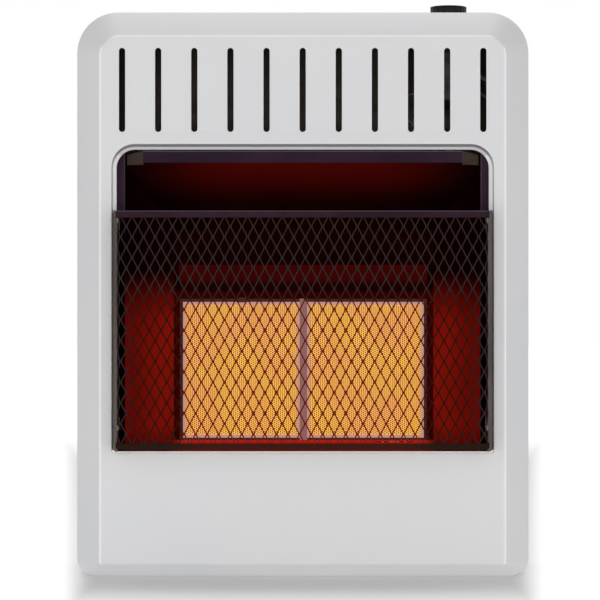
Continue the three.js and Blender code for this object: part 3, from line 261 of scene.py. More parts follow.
def between(tree, value, low, high, to_low, to_high):
    """Carries a value from one range to another, smoothly and held at the ends."""
    inputs = {"Value": value, "From Min": low, "From Max": high, "To Min": to_low,
              "To Max": to_high}
    return added(tree, "MapRange", inputs, interpolation_type="SMOOTHSTEP").outputs["Result"]


def math_node(tree, kind, first, second=0.0):
    """One step of arithmetic on values, each a socket or a plain number."""
    return added(tree, "Math", {0: first, 1: second}, operation=kind).outputs["Value"]


def zone(tree, place, soft, **ranges):
    """1 inside a box of the object's space and 0 outside, soft at its faces. A range, with
    None at an open end, is given for each bounded axis; x is measured from the middle."""
    parts = axes(tree, place)
    share = 1.0
    for axis, (low, high) in ranges.items():
        value = along(tree, parts, axis)
        for edge, to_low, to_high in ((low, 0.0, 1.0), (high, 1.0, 0.0)):
            if edge is not None:
                share = math_node(tree, "MULTIPLY", share, between(
                    tree, value, edge - soft, edge + soft, to_low, to_high))
    return share


def blended(tree, share, first, second):
    """Colour between two colours, each a socket or a plain triple, by a share."""
    inputs = {"Factor": share, 6: first, 7: second}
    return added(tree, "Mix", inputs, data_type="RGBA").outputs[2]


def coloured(tree, shader, colour):
    """Feeds a colour to the shader's base colour."""
    tree.links.new(colour, shader.inputs["Base Color"])


def rough(tree, shader, value, smooth, matt, span=(0.3, 0.7)):
    """Feeds the shader's roughness, from smooth to matt over a span of the value."""
    tree.links.new(between(tree, value, *span, smooth, matt), shader.inputs["Roughness"])


def glowing(tree, shader, colour):
    """Feeds a colour to the shader's emission, at its plain strength of 1."""
    shader.inputs["Emission Strength"].default_value = 1.0
    tree.links.new(colour, shader.inputs["Emission Color"])


def bumped(tree, shader, height, distance):
    """Feeds a height to the shader's normal through a Bump node at full strength."""
    bump = added(tree, "Bump", {"Strength": 1.0, "Distance": distance, "Height": height})
    tree.links.new(bump.outputs["Normal"], shader.inputs["Normal"])


# Sprayed coats share a node group: the fine orange peel of the surface and a slow cloud in its
# colour.
sprayed = bpy.data.node_groups.new("sprayed coat", "ShaderNodeTree")
sprayed.interface.new_socket("Vector", in_out="INPUT", socket_type="NodeSocketVector")
for name in ("Grain", "Cloud"):
    sprayed.interface.new_socket(name, in_out="INPUT", socket_type="NodeSocketFloat")
for name in ("Peel", "Clouds"):
    sprayed.interface.new_socket(name, in_out="OUTPUT", socket_type="NodeSocketFloat")
coat_in = sprayed.nodes.new("NodeGroupInput")
coat_out = sprayed.nodes.new("NodeGroupOutput")
for scale, name, detail in (("Grain", "Peel", 2.0), ("Cloud", "Clouds", 4.0)):
    waves = noise(sprayed, coat_in.outputs["Vector"], coat_in.outputs[scale], detail)
    sprayed.links.new(waves, coat_out.inputs[name])


def sprayed_coat(tree, place, grain, cloud):
    """The group in a material's tree, on the piece's own coordinates: the peel's height and
    the clouds' value."""
    inputs = {"Vector": place, "Grain": grain, "Cloud": cloud}
    node = added(tree, "Group", inputs, node_tree=sprayed)
    return node.outputs["Peel"], node.outputs["Clouds"]


def casing_paint():
    """Pale grey powder coat: satin, with fine orange peel and a hardly visible cloud. A painted
    highlight makes it paler along the creases; painted shade darkens the step round the window,
    most of all above, and browns the ledge beside the guard; painted light from the plaques glows
    on the sill."""
    finish, tree, shader, place = new_finish("casing paint", (0.67, 0.67, 0.68), 0.42)
    reach = ledge_reach[1]
    # Painted shade on the window's step, strongest under its top edge, and lighter painted shade on
    # the ledge under the top.
    painted_step_shade = zone(tree, place, 0.0002, x=(None, step_reach), y=(face_y + 0.0003, lip_y - 0.0002),
                z=(window_sill + 0.002, window_top + 0.010))
    above = zone(tree, place, 0.012, z=(window_top - 0.012, None))
    painted_step_shade = math_node(tree, "MULTIPLY", painted_step_shade, math_node(tree, "MAXIMUM", above, step_shade_share))
    painted_brow_shade = zone(tree, place, 0.0004, x=(None, reach), y=(lip_y - 0.0003, lip_y + 0.004),
                z=(window_top - 0.006, window_top + 0.008))
    painted_window_shade = math_node(tree, "MAXIMUM", painted_step_shade, math_node(tree, "MULTIPLY", painted_brow_shade, brow_shade_share))
    # Painted shade, browner, on the ledge beside the guard.
    painted_ledge_shade = zone(tree, place, 0.0004, x=ledge_reach, y=(lip_y - 0.0003, lip_y + 0.001),
                 z=(window_sill + 0.004, ledge_top))
    # Painted light from the plaques, glowing on the sill.
    painted_sill_light = zone(tree, place, 0.0003, x=(None, reach), y=(face_y + 0.0004, lip_y + 0.003),
                z=(window_sill - 0.003, window_sill + 0.0012))
    # Painted highlight along the creases round the face.
    painted_crease_highlight = math_node(tree, "MAXIMUM",
                     zone(tree, place, 0.001, x=(case_half - bevel_side - 0.002, None)),
                     zone(tree, place, 0.001, z=(case_top - bevel_top - 0.002, None)))
    painted_crease_highlight = math_node(tree, "MULTIPLY", painted_crease_highlight, zone(
        tree, place, 0.0002, y=(face_y + 0.0001, face_y + 0.0010)))
    peel, clouds = sprayed_coat(tree, place, 900.0, 6.0)
    colour = blended(tree, between(tree, clouds, 0.3, 0.7, 0.0, 1.0),
                     (0.655, 0.66, 0.675), (0.685, 0.68, 0.685))
    colour = blended(tree, painted_crease_highlight, colour, (0.90, 0.90, 0.91))
    colour = blended(tree, painted_window_shade, colour, (0.19, 0.185, 0.20))
    coloured(tree, shader, blended(tree, painted_ledge_shade, colour, (0.15, 0.13, 0.105)))
    rough(tree, shader, clouds, 0.38, 0.46)
    glowing(tree, shader, blended(tree, painted_sill_light, black, (0.25, 0.22, 0.20)))
    bumped(tree, shader, peel, 0.00006)
    return finish


def case_outline(inset):
    return arch(case_half - inset, inset, case_top - inset,
                tuple(max(radius - inset, margin) for radius in case_radii))


def face_outline(inset):
    return arch(case_half - bevel_side - inset, bevel_bottom + inset,
                case_top - bevel_top - inset,
                (max(crease_radii[0] - inset, margin), crease_radii[1] - inset))


def window_outline(grow):
    """The window's outline, widened by one amount at its sides and by another above."""
    side, above = grow
    below = lip_bottom * max(side, 0.0) / step_edge[0]
    return arch(window_half + side, window_sill - below, window_top + above,
                (window_radii[0], window_radii[1] + side))


def slot_outline(x, grow):
    """Upright slot with round ends: two half circles of points."""
    turn = np.linspace(0.0, np.pi, slot_steps + 1)
    return np.vstack((on_circle(x, slot_high - slot_half, slot_half + grow, turn),
                      on_circle(x, slot_low + slot_half, slot_half + grow, turn + np.pi)))


def front_panel():
    """Rings carried inwards from the skirt over the bevel to the face, and from the face
    over the window's step and ledge to its hem, with the punched face between them."""
    r = lip_radius

    def lip(grow, y):
        return at_depth(window_outline(grow + np.zeros(2)), y)

    bevel_y = face_y + bevel_depth
    outer = at_depth(case_outline(0.0), bevel_y)
    crease = at_depth(face_outline(0.0), face_y)
    slope = crease - outer
    slope /= np.linalg.norm(slope, axis=1)[:, None]
    face_edge = at_depth(face_outline(crease_round + margin), face_y)
    rim = wrapped([
        at_depth(case_outline(0.0), skirt_y),
        bent(at_depth(case_outline(0.0), bevel_y + press_radius), outer,
             outer + slope * press_radius),
        bent(crease - slope * crease_round, crease,
             at_depth(face_outline(crease_round), face_y)),
        face_edge,
    ])
    slant = (ledge_edge - step_edge) * r / lip_recess
    window_edge = lip(step_edge + r + margin, face_y)
    window = wrapped([
        window_edge,
        bent(lip(step_edge + r, face_y), lip(step_edge, face_y),
             lip(step_edge + slant, face_y + r)),
        bent(lip(ledge_edge - slant, lip_y - r), lip(ledge_edge, lip_y),
             lip(ledge_edge - r, lip_y)),
        bent(lip(r, lip_y), lip(0.0, lip_y), lip(0.0, lip_y + r)),
        lip(0.0, lip_y + lip_return),
    ])
    places = [(k - (slot_count - 1) / 2) * slot_pitch for k in range(slot_count)]
    slots = [
        wrapped([bent(at_depth(slot_outline(x, slot_edge), face_y),
                      at_depth(slot_outline(x, 0.0), face_y),
                      at_depth(slot_outline(x, 0.0), face_y + slot_edge))])
        for x in places]
    plate = punched([
        face_edge, window_edge, *[at_depth(slot_outline(x, slot_edge), face_y) for x in places]])
    return stitched(rim, window, plate, *slots)


paint = casing_paint()
panel = piece("casing_front", front_panel(), paint, outward=(0.0, -1.0, 0.0), wall=sheet)
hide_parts("front_panel")

# Cabinet
# One sheet folded round the sides, top and bottom, in the same paint, with a round hole for
# the knob's well in the top and a row of air intakes in the bottom.
wrap_gap = 0.0003
wrap_front = skirt_y + wrap_gap
wrap_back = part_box("cabinet")[1].y
wrap_edge = 0.0008
well_x, well_y = 0.156, 0.015
well_hole = 0.0243
intake_count = 12
intake_pitch = 0.032
intake_half = 0.0035
intake_front = wrap_front + 0.028
intake_length = 0.070
hole_steps = 40


def round_hole(x, y, radius):
    return on_circle(x, y, radius, np.linspace(0.0, 2 * np.pi, hole_steps, endpoint=False))


def cabinet():
    """Rings of the casing's outline carried back in depth. The flat stretches of the top and
    the bottom are left out of the rings and punched as plates of their own."""
    outline = case_outline(0.0)
    rings = [
        at_depth(case_outline(wrap_edge), wrap_front),
        at_depth(outline, wrap_front + wrap_edge),
        at_depth(outline, wrap_back - wrap_edge),
        at_depth(case_outline(wrap_edge), wrap_back),
    ]
    points, faces = wrapped(rings)
    count = len(outline)
    top_start = 2 * (corner_steps + 1) - 1
    open_flats = {count + top_start, 2 * count - 1}
    faces = [face for face in faces if face[0] not in open_flats]
    near, far = wrap_front + wrap_edge, wrap_back - wrap_edge

    def plate(start, z, holes):
        a, b = outline[start], outline[(start + 1) % count]
        rim = np.array([(a[0], near), (b[0], near), (b[0], far), (a[0], far)])
        return punched([at_height(loop, z) for loop in (rim, *holes)])

    slots = [
        np.array([(x - intake_half, intake_front), (x + intake_half, intake_front),
                  (x + intake_half, intake_front + intake_length),
                  (x - intake_half, intake_front + intake_length)])
        for x in (np.arange(intake_count) - (intake_count - 1) / 2) * intake_pitch]
    top = plate(top_start, case_top, [round_hole(well_x, well_y, well_hole)])
    bottom = plate(count - 1, 0.0, slots)
    return stitched((points, faces), top, bottom)


wrap = piece("cabinet_wrap", cabinet(), paint, outward=(1.0, 0.0, 0.0), wall=sheet)
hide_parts("cabinet")

# Back panel
# Galvanised tray that hangs on the wall: a turned edge, a shallow pressed bead all round, two
# keyholes, the hole for the gas inlet, and six pan-head screws through the cabinet's sides.
tray_low, tray_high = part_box("back_panel")
tray_inset = case_half - tray_high.x
tray_bend = 0.0012
bead_inset = 0.012
bead_half = 0.004
bead_depth = 0.0016
bead_steps = 6
keyhole_x = 0.181
keyhole_z = 0.505
keyhole_rise = 0.013
keyhole_head = 0.006
keyhole_neck = 0.0028
inlet_x, inlet_z = 0.150, 0.0495
inlet_hole = 0.017
screw_radius = 0.0038
screw_height = 0.0016
screw_slot = 0.0005
screw_arm = 0.55
screw_rings = 15
screw_sides = 48
screw_levels = (0.070, 0.300, 0.520)
screw_setback = 0.006
sides = (("left", -1.0), ("right", 1.0))


def facing_front(tree, full, none):
    """1 where the piece faces the front and 0 elsewhere, turning over a span of its normal's
    Y from full to none."""
    normal = axes(tree, tree.nodes["Texture Coordinate"].outputs["Normal"])
    return between(tree, normal["Y"], full, none, 1.0, 0.0)


def galvanised():
    """Zinc spangle: large pale crystals with their own tone and a fine grain. Faces that look to
    the front, as the tray's inside does, are painted dark as the shade inside the casing."""
    finish, tree, shader, place = new_finish("galvanised sheet", (0.42, 0.43, 0.44), 0.45, 1.0)
    crystals = added(tree, "TexVoronoi", {"Vector": place, "Scale": 120.0})
    tone = added(tree, "SeparateColor", {"Color": crystals.outputs["Color"]})
    colour = blended(tree, tone.outputs["Red"], (0.40, 0.41, 0.425), (0.50, 0.51, 0.52))
    # Painted shade: faces that look to the front, as the inside of the casing does, are darkened.
    inner = facing_front(tree, -0.6, -0.2)
    coloured(tree, shader, blended(tree, inner, colour, (0.085, 0.07, 0.06)))
    rough(tree, shader, tone.outputs["Green"], 0.36, 0.52, (0.0, 1.0))
    bumped(tree, shader, noise(tree, place, 500.0), 0.00003)
    return finish


def keyhole_outline(x):
    """Keyhole: most of a circle for the screw's head, then a narrow neck with a round end."""
    gap = math.asin(keyhole_neck / keyhole_head)
    head = np.linspace(np.pi / 2 + gap, 5 * np.pi / 2 - gap, 25)
    neck = np.linspace(0.0, np.pi, 9)
    return np.vstack((on_circle(x, keyhole_z, keyhole_head, head),
                      on_circle(x, keyhole_z + keyhole_rise, keyhole_neck, neck)))


def back_tray():
    """Rings from the flange's front edge round the bend, over the pressed bead, to the flat
    plate with its holes."""
    y = tray_high.y

    def ring(inset, depth):
        return at_depth(case_outline(tray_inset + inset), y - depth)

    def bead(share, depth=0.0):
        return ring(bead_inset + bead_half * share, depth)

    inner = ring(bead_inset + bead_half + margin, 0.0)
    rings = wrapped([
        ring(0.0, y - tray_low.y),
        bent(ring(0.0, tray_bend), ring(0.0, 0.0), ring(tray_bend, 0.0)),
        bead(-1.0),
        bent(bead(-0.9), bead(-0.5), bead(-0.3, bead_depth), bead_steps),
        bent(bead(0.3, bead_depth), bead(0.5), bead(0.9), bead_steps),
        inner,
    ])
    plate = punched([
        inner, at_depth(keyhole_outline(keyhole_x), y), at_depth(keyhole_outline(-keyhole_x), y),
        at_depth(round_hole(inlet_x, inlet_z, inlet_hole), y)])
    return stitched(rings, plate)


def side_screw(side, z):
    """Pan-head screw on the cabinet's side: a polar grid whose height falls off as a rounded
    rim and drops inside a cross recess, closed by a flat base."""
    radius = screw_radius * np.linspace(0.0, 1.0, screw_rings)
    angle = np.linspace(0.0, 2 * np.pi, screw_sides, endpoint=False)
    across = radius[:, None] * np.cos(angle)
    up = radius[:, None] * np.sin(angle)
    rise = screw_height * np.sqrt(np.clip(1 - (radius / screw_radius) ** 4, 0, 1))[:, None]
    rise = np.repeat(rise, len(angle), axis=1)
    arm = (np.minimum(abs(across), abs(up)) < screw_slot) & (
        np.maximum(abs(across), abs(up)) < screw_radius * screw_arm)
    rise -= arm * screw_height / 2
    y = wrap_back - screw_setback
    rings = np.stack((side * (case_half + rise), y + across, z + up), axis=-1)
    base = np.broadcast_to((side * case_half, y, z), (1, len(angle), 3))
    return wrapped([rings, base])


zinc = galvanised()
tray = piece("back_tray", back_tray(), zinc, outward=(0.0, 1.0, 0.0), wall=tray_bend - 0.0002)
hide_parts("back_panel")
for label, side in sides:
    for number, z in enumerate(screw_levels):
        head = piece(f"side_screw_{label}_{number + 1}", side_screw(side, z), zinc)

# Firebox
# Folded walls, ceiling, hearth, back and visor of dark enamelled steel. Each keeps its packed
# shape with its edges rounded. Where the plaques shine on it, their light is painted on as a dull
# red glow; shade inside is painted near-black, and highlights on edges and folds are painted too.
fire_edge = 0.0005
edge_steps = 2
edge_angle = math.radians(30.0)
flat_angle = math.radians(1.0)
flange_y = -0.0605
flange_fold = (0.1855, 0.1866)
guard_line = 0.383
hood_rise = 0.001
hood_reach = 0.002
hood_tip = 0.175
hood_back = -0.053
hood_fold = 0.4338
hood_end = 0.1665
hood_low = 0.4316
hood_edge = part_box("hood")[1].z + hood_rise - 0.0008


def eased(node, finish, width, body="root"):
    """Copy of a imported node: triangles merged into whole faces, edges rounded by a bevel."""
    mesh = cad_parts[node].data.copy()
    mesh.name = node + "_finished"
    shape = bmesh.new()
    shape.from_mesh(mesh)
    bmesh.ops.remove_doubles(shape, verts=shape.verts, dist=merge_distance)
    bmesh.ops.dissolve_limit(
        shape, angle_limit=flat_angle, verts=shape.verts, edges=shape.edges)
    shape.to_mesh(mesh)
    shape.free()
    mesh.shade_smooth()
    mesh.set_sharp_from_angle(angle=edge_angle)
    mesh.materials.clear()
    mesh.materials.append(finish)
    made = new_object(mesh.name, mesh)
    rounding = made.modifiers.new("edges", "BEVEL")
    rounding.width = width
    rounding.segments = edge_steps
    rounding.limit_method = "ANGLE"
    rounding.angle_limit = edge_angle
    rounding.harden_normals = True
    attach(made, body)
    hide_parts(node)
    return made


def lit_enamel(name, outer, inner, glow, mouth, tints, fades):
    """Dark enamel on steel: satin and a little purple outside. Inside its mouth it takes the inner
    colour, painted shade or painted light, and a painted dull red glow for the plaques' light. Each
    tint colours what faces the front in one zone, as painted light or shade, and each fade lowers
    the painted glow along one axis."""
    finish, tree, shader, place = new_finish(name, outer, 0.42, specular=0.0)
    peel, clouds = sprayed_coat(tree, place, 600.0, 14.0)
    inside = zone(tree, place, 0.0008, **mouth)
    colour = blended(tree, between(tree, clouds, 0.35, 0.65, 0.0, 1.0), outer,
                     tuple(0.7 * c for c in outer))
    colour = blended(tree, inside, colour, inner)
    facing = facing_front(tree, -0.5, -0.2)
    for tint, bounds in tints:
        share = math_node(tree, "MULTIPLY", facing, zone(tree, place, 0.0003, **bounds))
        colour = blended(tree, share, colour, tint)
    coloured(tree, shader, colour)
    rough(tree, shader, clouds, 0.34, 0.5)
    # Painted light: a dull red glow inside the mouth stands in for the plaques' light.
    red = math_node(tree, "MULTIPLY", inside, between(tree, clouds, 0.3, 0.7, glow, 0.85 * glow))
    parts = axes(tree, place)
    for axis, *span in fades:
        share = between(tree, along(tree, parts, axis), *span)
        red = math_node(tree, "MULTIPLY", red, share)
    glowing(tree, shader, blended(tree, red, black, (1.0, 0.028, 0.010)))
    bumped(tree, shader, peel, 0.00005)
    return finish


def raise_front(made):
    """Moves the strip at the hood's front up to the window's edge and its ends outwards."""
    points = made.data.vertices
    place = np.zeros(3 * len(points))
    points.foreach_get("co", place)
    x, y, z = place.reshape(-1, 3).T
    z += (y < hood_back) * hood_rise
    x += np.sign(x) * (abs(x) > hood_tip) * hood_reach
    points.foreach_set("co", place)
    made.data.update()


# The enamel's own colour, then painted colours: a highlight on edges, a highlight on the flanges'
# fold, the lighter brown of light on the hood's end facets, and near-black shade.
plum = (0.036, 0.020, 0.035)
edge_highlight = (0.11, 0.090, 0.11)
fold_highlight = (0.06, 0.045, 0.06)
hood_end_light = (0.050, 0.038, 0.030)
shade_black = (0.002, 0.0006, 0.0008)
at_flange = {"y": (flange_y, None)}
# The flanges carry painted shade below the guard's top and a painted highlight on their fold above
# it; the hood, painted light on its end facets and a painted highlight along its front edge.
flange_tints = (
    (shade_black, {"z": (None, guard_line)}), (fold_highlight, {"x": flange_fold, "z": (guard_line, None)}))
hood_tints = (
    (hood_end_light, {"x": (hood_end, None), "y": (None, hood_back), "z": (hood_low, None)}),
    (edge_highlight, {"x": (None, hood_end), "z": (hood_edge, None)}))
# Each row: name, glow, mouth, tints, fades (axis, from, to, share at from, share at to), nodes.
for name, glow, mouth, tints, fades, nodes in (
        ("wall enamel", 0.165, at_flange, flange_tints,
         (("z", 0.258, 0.325, 1.0, 0.02), ("z", 0.134, 0.160, 0.5, 1.0),
          ("y", -0.058, 0.040, 0.6, 1.1)), ("left_reflector", "right_reflector")),
        ("ceiling enamel", 0.050, {"z": (None, hood_fold)}, hood_tints,
         (("y", -0.060, 0.012, 1.0, 0.10), ("x", 0.07, 0.185, 1.0, 0.08)), ("hood",)),
        ("hearth enamel", 0.44, at_flange, (),
         (("y", -0.030, 0.036, 0.35, 1.0), ("x", 0.125, 0.145, 1.0, 0.2)),
         ("bottom_reflector",)),
        ("visor enamel", 0.040, at_flange, (), (("z", 0.306, 0.314, 0.25, 1.0),), ("visor",)),
        ("back wall enamel", 0.028, at_flange, (), (("z", 0.296, 0.304, 1.0, 0.20),),
         ("back_reflector",))):
    finish = lit_enamel(name, plum, shade_black, glow, mouth, tints, fades)
    for node in nodes:
        made = eased(node, finish, fire_edge)
        if node == "hood":
            raise_front(made)

# Brackets and gas train
# Galvanised brackets, brass and cast aluminium fittings, and bright tubes. They show through
# the air slots, the intakes and the holes of the back. The knob's spring, which shortens when
# the knob is pushed, gets a mesh of its own and rides on the valve's plug.


def metal(name, colour, roughness, grain, metallic=1.0):
    """Plain metal part: a fine grain in its gloss and a slight stain in its colour."""
    finish, tree, shader, place = new_finish(name, colour, roughness, metallic)
    peel, clouds = sprayed_coat(tree, place, grain, 40.0)
    stain = between(tree, clouds, 0.35, 0.7, 0.0, 1.0)
    coloured(tree, shader, blended(tree, stain, colour, tuple(0.72 * c for c in colour)))
    rough(tree, shader, clouds, roughness - 0.07, roughness + 0.12)
    bumped(tree, shader, peel, 0.00004)
    return finish


burner_steel = metal("burner steel", (0.30, 0.29, 0.28), 0.45, 900.0)
brass = metal("brass", (0.44, 0.28, 0.09), 0.30, 1200.0)
casting = metal("cast aluminium", (0.17, 0.17, 0.18), 0.55, 500.0)
bright_tube = metal("aluminium tube", (0.20, 0.205, 0.21), 0.42, 900.0)
copper = metal("copper", (0.60, 0.28, 0.16), 0.32, 900.0)
spring_wire = metal("spring steel", (0.34, 0.35, 0.37), 0.28, 1500.0)
white_ceramic = metal("electrode ceramic", (0.72, 0.69, 0.62), 0.35, 400.0, 0.0)
gasket_fibre = metal("gasket fibre", (0.62, 0.58, 0.50), 0.9, 1500.0, 0.0)
for finish, slot, nodes in (
        (zinc, "galvanised_steel", ("burner_bracket_left", "burner_bracket_right",
                                    "injector_bracket", "valve_bracket", "regulator_bracket",
                                    "pilot_bracket")),
        (burner_steel, "burner_steel", ("plenum", "venturi")),
        (brass, "brass", ("injector", "inlet_fitting", "pilot_burner")),
        (casting, "cast_aluminium", ("valve_body", "regulator")),
        (bright_tube, "aluminium_tube", ("inlet_tube", "burner_tube", "pilot_tube")),
        (copper, "copper", ("thermocouple",)),
        (white_ceramic, "electrode_ceramic", ("electrode",)),
        (gasket_fibre, "gasket_fibre", ("plaque_gasket",))):
    for node in nodes:
        eased(node, finish, 0.0003)
eased("valve_plug", brass, 0.0003, body="valve_plug")
spring = eased("knob_spring", spring_wire, 0.0001, body="valve_plug")
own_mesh(spring)
eased("valve_stem", spring_wire, 0.0002, body="control_knob")

# Burner frame and clip
# Heat-stained steel: one frame with a lip round each plaque and a web between them, and a
# small clip over its top edge.
frame_web = 0.004


def stained_steel():
    """Steel near the flame: grey with straw and violet tints, dull with scale. Painted light from
    the plaques glows on it, dull red, and pink on the web between them.
    """
    finish, tree, shader, place = new_finish(
        "frame steel", (0.012, 0.008, 0.008), 0.5, specular=0.15)
    tint = noise(tree, place, 35.0, 4.0)
    coloured(tree, shader, blended(tree, between(tree, tint, 0.35, 0.65, 0.0, 1.0),
                                   (0.016, 0.008, 0.008), (0.011, 0.007, 0.005)))
    # Painted light from the plaques: pink on the web between them, dull red elsewhere.
    middle = zone(tree, place, 0.001, x=(None, frame_web))
    glowing(tree, shader,
            blended(tree, middle, (0.034, 0.0030, 0.0015), (0.25, 0.105, 0.095)))
    scale = noise(tree, place, 900.0)
    rough(tree, shader, scale, 0.42, 0.62)
    bumped(tree, shader, scale, 0.00005)
    return finish


frame_steel = stained_steel()
for node in ("plaque_frame", "plaque_clip"):
    eased(node, frame_steel, 0.0003)

# Plaques
# Two slabs of pressed ceramic with thousands of fine holes that the gas burns in, glowing
# yellow, with a bare margin whose pale pink glow is painted light from the burning field. They sit
# in the frame's pockets.
plaque_low, plaque_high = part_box("right_plaque")
plaque_face = plaque_low.y
plaque_middle = (plaque_low + plaque_high) / 2
plaque_chamfer = 0.001
hole_pitch = 0.00212
hole_rise = 0.0022
hole_radius = 0.00074
hole_depth = 0.0022
hole_columns = 57
hole_rows = 64
hole_field_x = hole_columns * hole_pitch / 2
hole_field_z = hole_rows * hole_rise / 2
field_soft = 0.0004


def plaque_skin(node):
    """A field of upright columns of cells, each with an eight-sided blind hole and every other
    column half a cell lower, inside a bare margin with a chamfered edge."""
    low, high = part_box(node)
    middle = (low + high) / 2
    front = low.y
    ring = on_circle(0.0, 0.0, hole_radius, np.arange(8) * np.pi / 4)
    half_x, half_z = hole_pitch / 2, hole_rise / 2
    corners = np.array([(half_x, half_z), (-half_x, half_z), (-half_x, -half_z), (half_x, -half_z)])
    cell = np.vstack((at_depth(corners, 0.0), at_depth(ring, 0.0), at_depth(ring, hole_depth)))
    flat = [
        face for k in range(4) for face in (
            (k, 4 + 2 * k, 4 + 2 * k + 1), (k, 4 + 2 * k + 1, 4 + (2 * k + 2) % 8),
            (k, 4 + (2 * k + 2) % 8, (k + 1) % 4))]
    walls = [(4 + k, 12 + k, 12 + (k + 1) % 8, 4 + (k + 1) % 8) for k in range(8)]
    cell_faces = [*flat, *walls, tuple(range(12, 20))]
    field_x, field_z = hole_field_x, hole_field_z
    places, caps = [], []
    for column in range(hole_columns):
        x = middle.x - field_x + (column + 0.5) * hole_pitch
        rows = hole_rows - column % 2
        z = middle.z + (np.arange(rows) - (rows - 1) / 2) * hole_rise
        places.append(np.column_stack((np.full(rows, x), np.full(rows, front), z)))
        if column % 2:
            for near, far in ((-field_z, half_z - field_z), (field_z - half_z, field_z)):
                caps.append(np.array([
                    (x + half_x * a, front, middle.z + b)
                    for a, b in ((-1, near), (1, near), (1, far), (-1, far))]))
    places = np.vstack(places)
    points = (places[:, None, :] + cell[None]).reshape(-1, 3)
    faces = [[k + 20 * n for k in face] for n in range(len(places)) for face in cell_faces]
    half_cells = (np.vstack(caps), np.arange(4 * len(caps)).reshape(-1, 4).tolist())

    def outline(inset_x, inset_z, y):
        left, right = low.x + inset_x, high.x - inset_x
        under, over = low.z + inset_z, high.z - inset_z
        across = np.linspace(left, right, hole_columns + 1)
        up = np.linspace(under, over, hole_rows + 1)
        loop = np.vstack((
            np.column_stack((across[:-1], np.full(hole_columns, under))),
            np.column_stack((np.full(hole_rows, right), up[:-1])),
            np.column_stack((across[:0:-1], np.full(hole_columns, over))),
            np.column_stack((np.full(hole_rows, left), up[:0:-1])),
        ))
        return at_depth(loop, y)

    border = wrapped([
        outline((high.x - low.x) / 2 - field_x, (high.z - low.z) / 2 - field_z, front),
        outline(plaque_chamfer, plaque_chamfer, front),
        outline(0.0, 0.0, front + plaque_chamfer),
        outline(0.0, 0.0, high.y),
    ])
    back = punched([outline(0.0, 0.0, high.y)])
    return stitched((points, faces), half_cells, border, back)


def glowing_ceramic():
    """Lit ceramic: yellow glow over the perforated field, dark orange down the holes and a pale
    pink glow on the margin, painted light from the field. The glow runs a little uneven, as the gas
    does."""
    finish, tree, shader, place = new_finish("plaque ceramic", (0.10, 0.07, 0.06), 0.85)
    parts = axes(tree, place)
    uneven = noise(tree, place, 28.0, 3.0)
    glow = blended(tree, between(tree, uneven, 0.35, 0.65, 0.0, 1.0),
                   (0.94, 0.40, 0.085), (0.96, 0.48, 0.055))
    depth = between(tree, parts["Y"], plaque_face + 0.0001, plaque_face + 0.0007, 0.0, 1.0)
    glow = blended(tree, depth, glow, (0.17, 0.045, 0.0))
    edge = 0.0
    for axis, middle, field in (
            ("x", plaque_middle.x, hole_field_x), ("z", plaque_middle.z, hole_field_z)):
        away = math_node(tree, "ABSOLUTE", math_node(
            tree, "SUBTRACT", along(tree, parts, axis), middle))
        away = between(tree, away, field - field_soft, field + field_soft, 0.0, 1.0)
        edge = math_node(tree, "MAXIMUM", away, edge)
    # Painted light: the bare margin glows pale pink.
    glowing(tree, shader, blended(tree, edge, glow, (0.46, 0.24, 0.185)))
    bumped(tree, shader, noise(tree, place, 900.0), 0.0001)
    return finish


lit_ceramic = glowing_ceramic()
for node in ("left_plaque", "right_plaque"):
    slab = piece(node + "_ceramic", plaque_skin(node), lit_ceramic)
    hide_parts(node)

# Knob and its well
# Moulded black knob, plain but for its fluted grip, pushed and turned in a round well whose
# rim lies on the casing's top.
knob_low, knob_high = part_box("control_knob")
knob_radius = (knob_high.x - knob_low.x) / 2
knob_hub_drop = 0.0006
knob_skirt = 0.003
knob_bevel = 0.0004
knob_edge = 0.0011
knob_steps = 6
grip_inset = 0.0006
rim_inset = 0.0003
flute_count = 24
flute_depth = 0.0005
knob_sides = 192


def knob_skin():
    """Turned profile of radius and height, whose grip is drawn in by a cosine flute."""
    base = knob_low.z + knob_hub_drop
    skirt = base + knob_skirt
    top = knob_high.z
    crown = top - knob_bevel
    waist = knob_radius - grip_inset
    turn = np.linspace(0.0, np.pi / 2, knob_steps)
    grip = np.linspace(skirt + 0.001, crown - knob_edge - 0.0005, knob_steps)
    profile = np.vstack((
        [(0.0, base), (knob_radius - knob_bevel, base), (knob_radius, base + knob_bevel),
         (knob_radius, skirt), (waist, skirt + grip_inset)],
        np.column_stack((np.full(knob_steps, waist), grip)),
        on_circle(knob_radius - rim_inset - knob_edge, crown - knob_edge, knob_edge, turn),
        [(knob_radius * 0.8, crown + 0.0001), (knob_radius * 0.5, top - 0.0001), (0.0, top)],
    ))
    angle = np.linspace(0.0, 2 * np.pi, knob_sides, endpoint=False)
    wave = 0.5 - 0.5 * np.cos(angle * flute_count)
    fluted = ((profile[:, 1] > skirt + 0.0008) & (profile[:, 0] > knob_radius * 0.9)
              & (profile[:, 1] < crown - 0.0006))
    radius = profile[:, :1] - fluted[:, None] * flute_depth * wave[None]
    rings = np.stack((
        well_x + radius * np.cos(angle), well_y + radius * np.sin(angle),
        np.repeat(profile[:, 1:], knob_sides, axis=1)), axis=-1)
    return wrapped([rings])


def knob_plastic():
    """Black moulded plastic: low gloss with a fine spark texture."""
    finish, tree, shader, place = new_finish(
        "knob plastic", (0.005, 0.005, 0.006), 0.35, specular=0.16)
    peel, clouds = sprayed_coat(tree, place, 1800.0, 60.0)
    coloured(tree, shader, blended(tree, clouds, (0.004, 0.004, 0.006), (0.007, 0.007, 0.009)))
    rough(tree, shader, clouds, 0.3, 0.44)
    bumped(tree, shader, peel, 0.00005)
    return finish


black_plastic = knob_plastic()
knob = piece("knob_grip", knob_skin(), black_plastic, body="control_knob")
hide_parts("control_knob")
eased("knob_well", black_plastic, 0.0003)

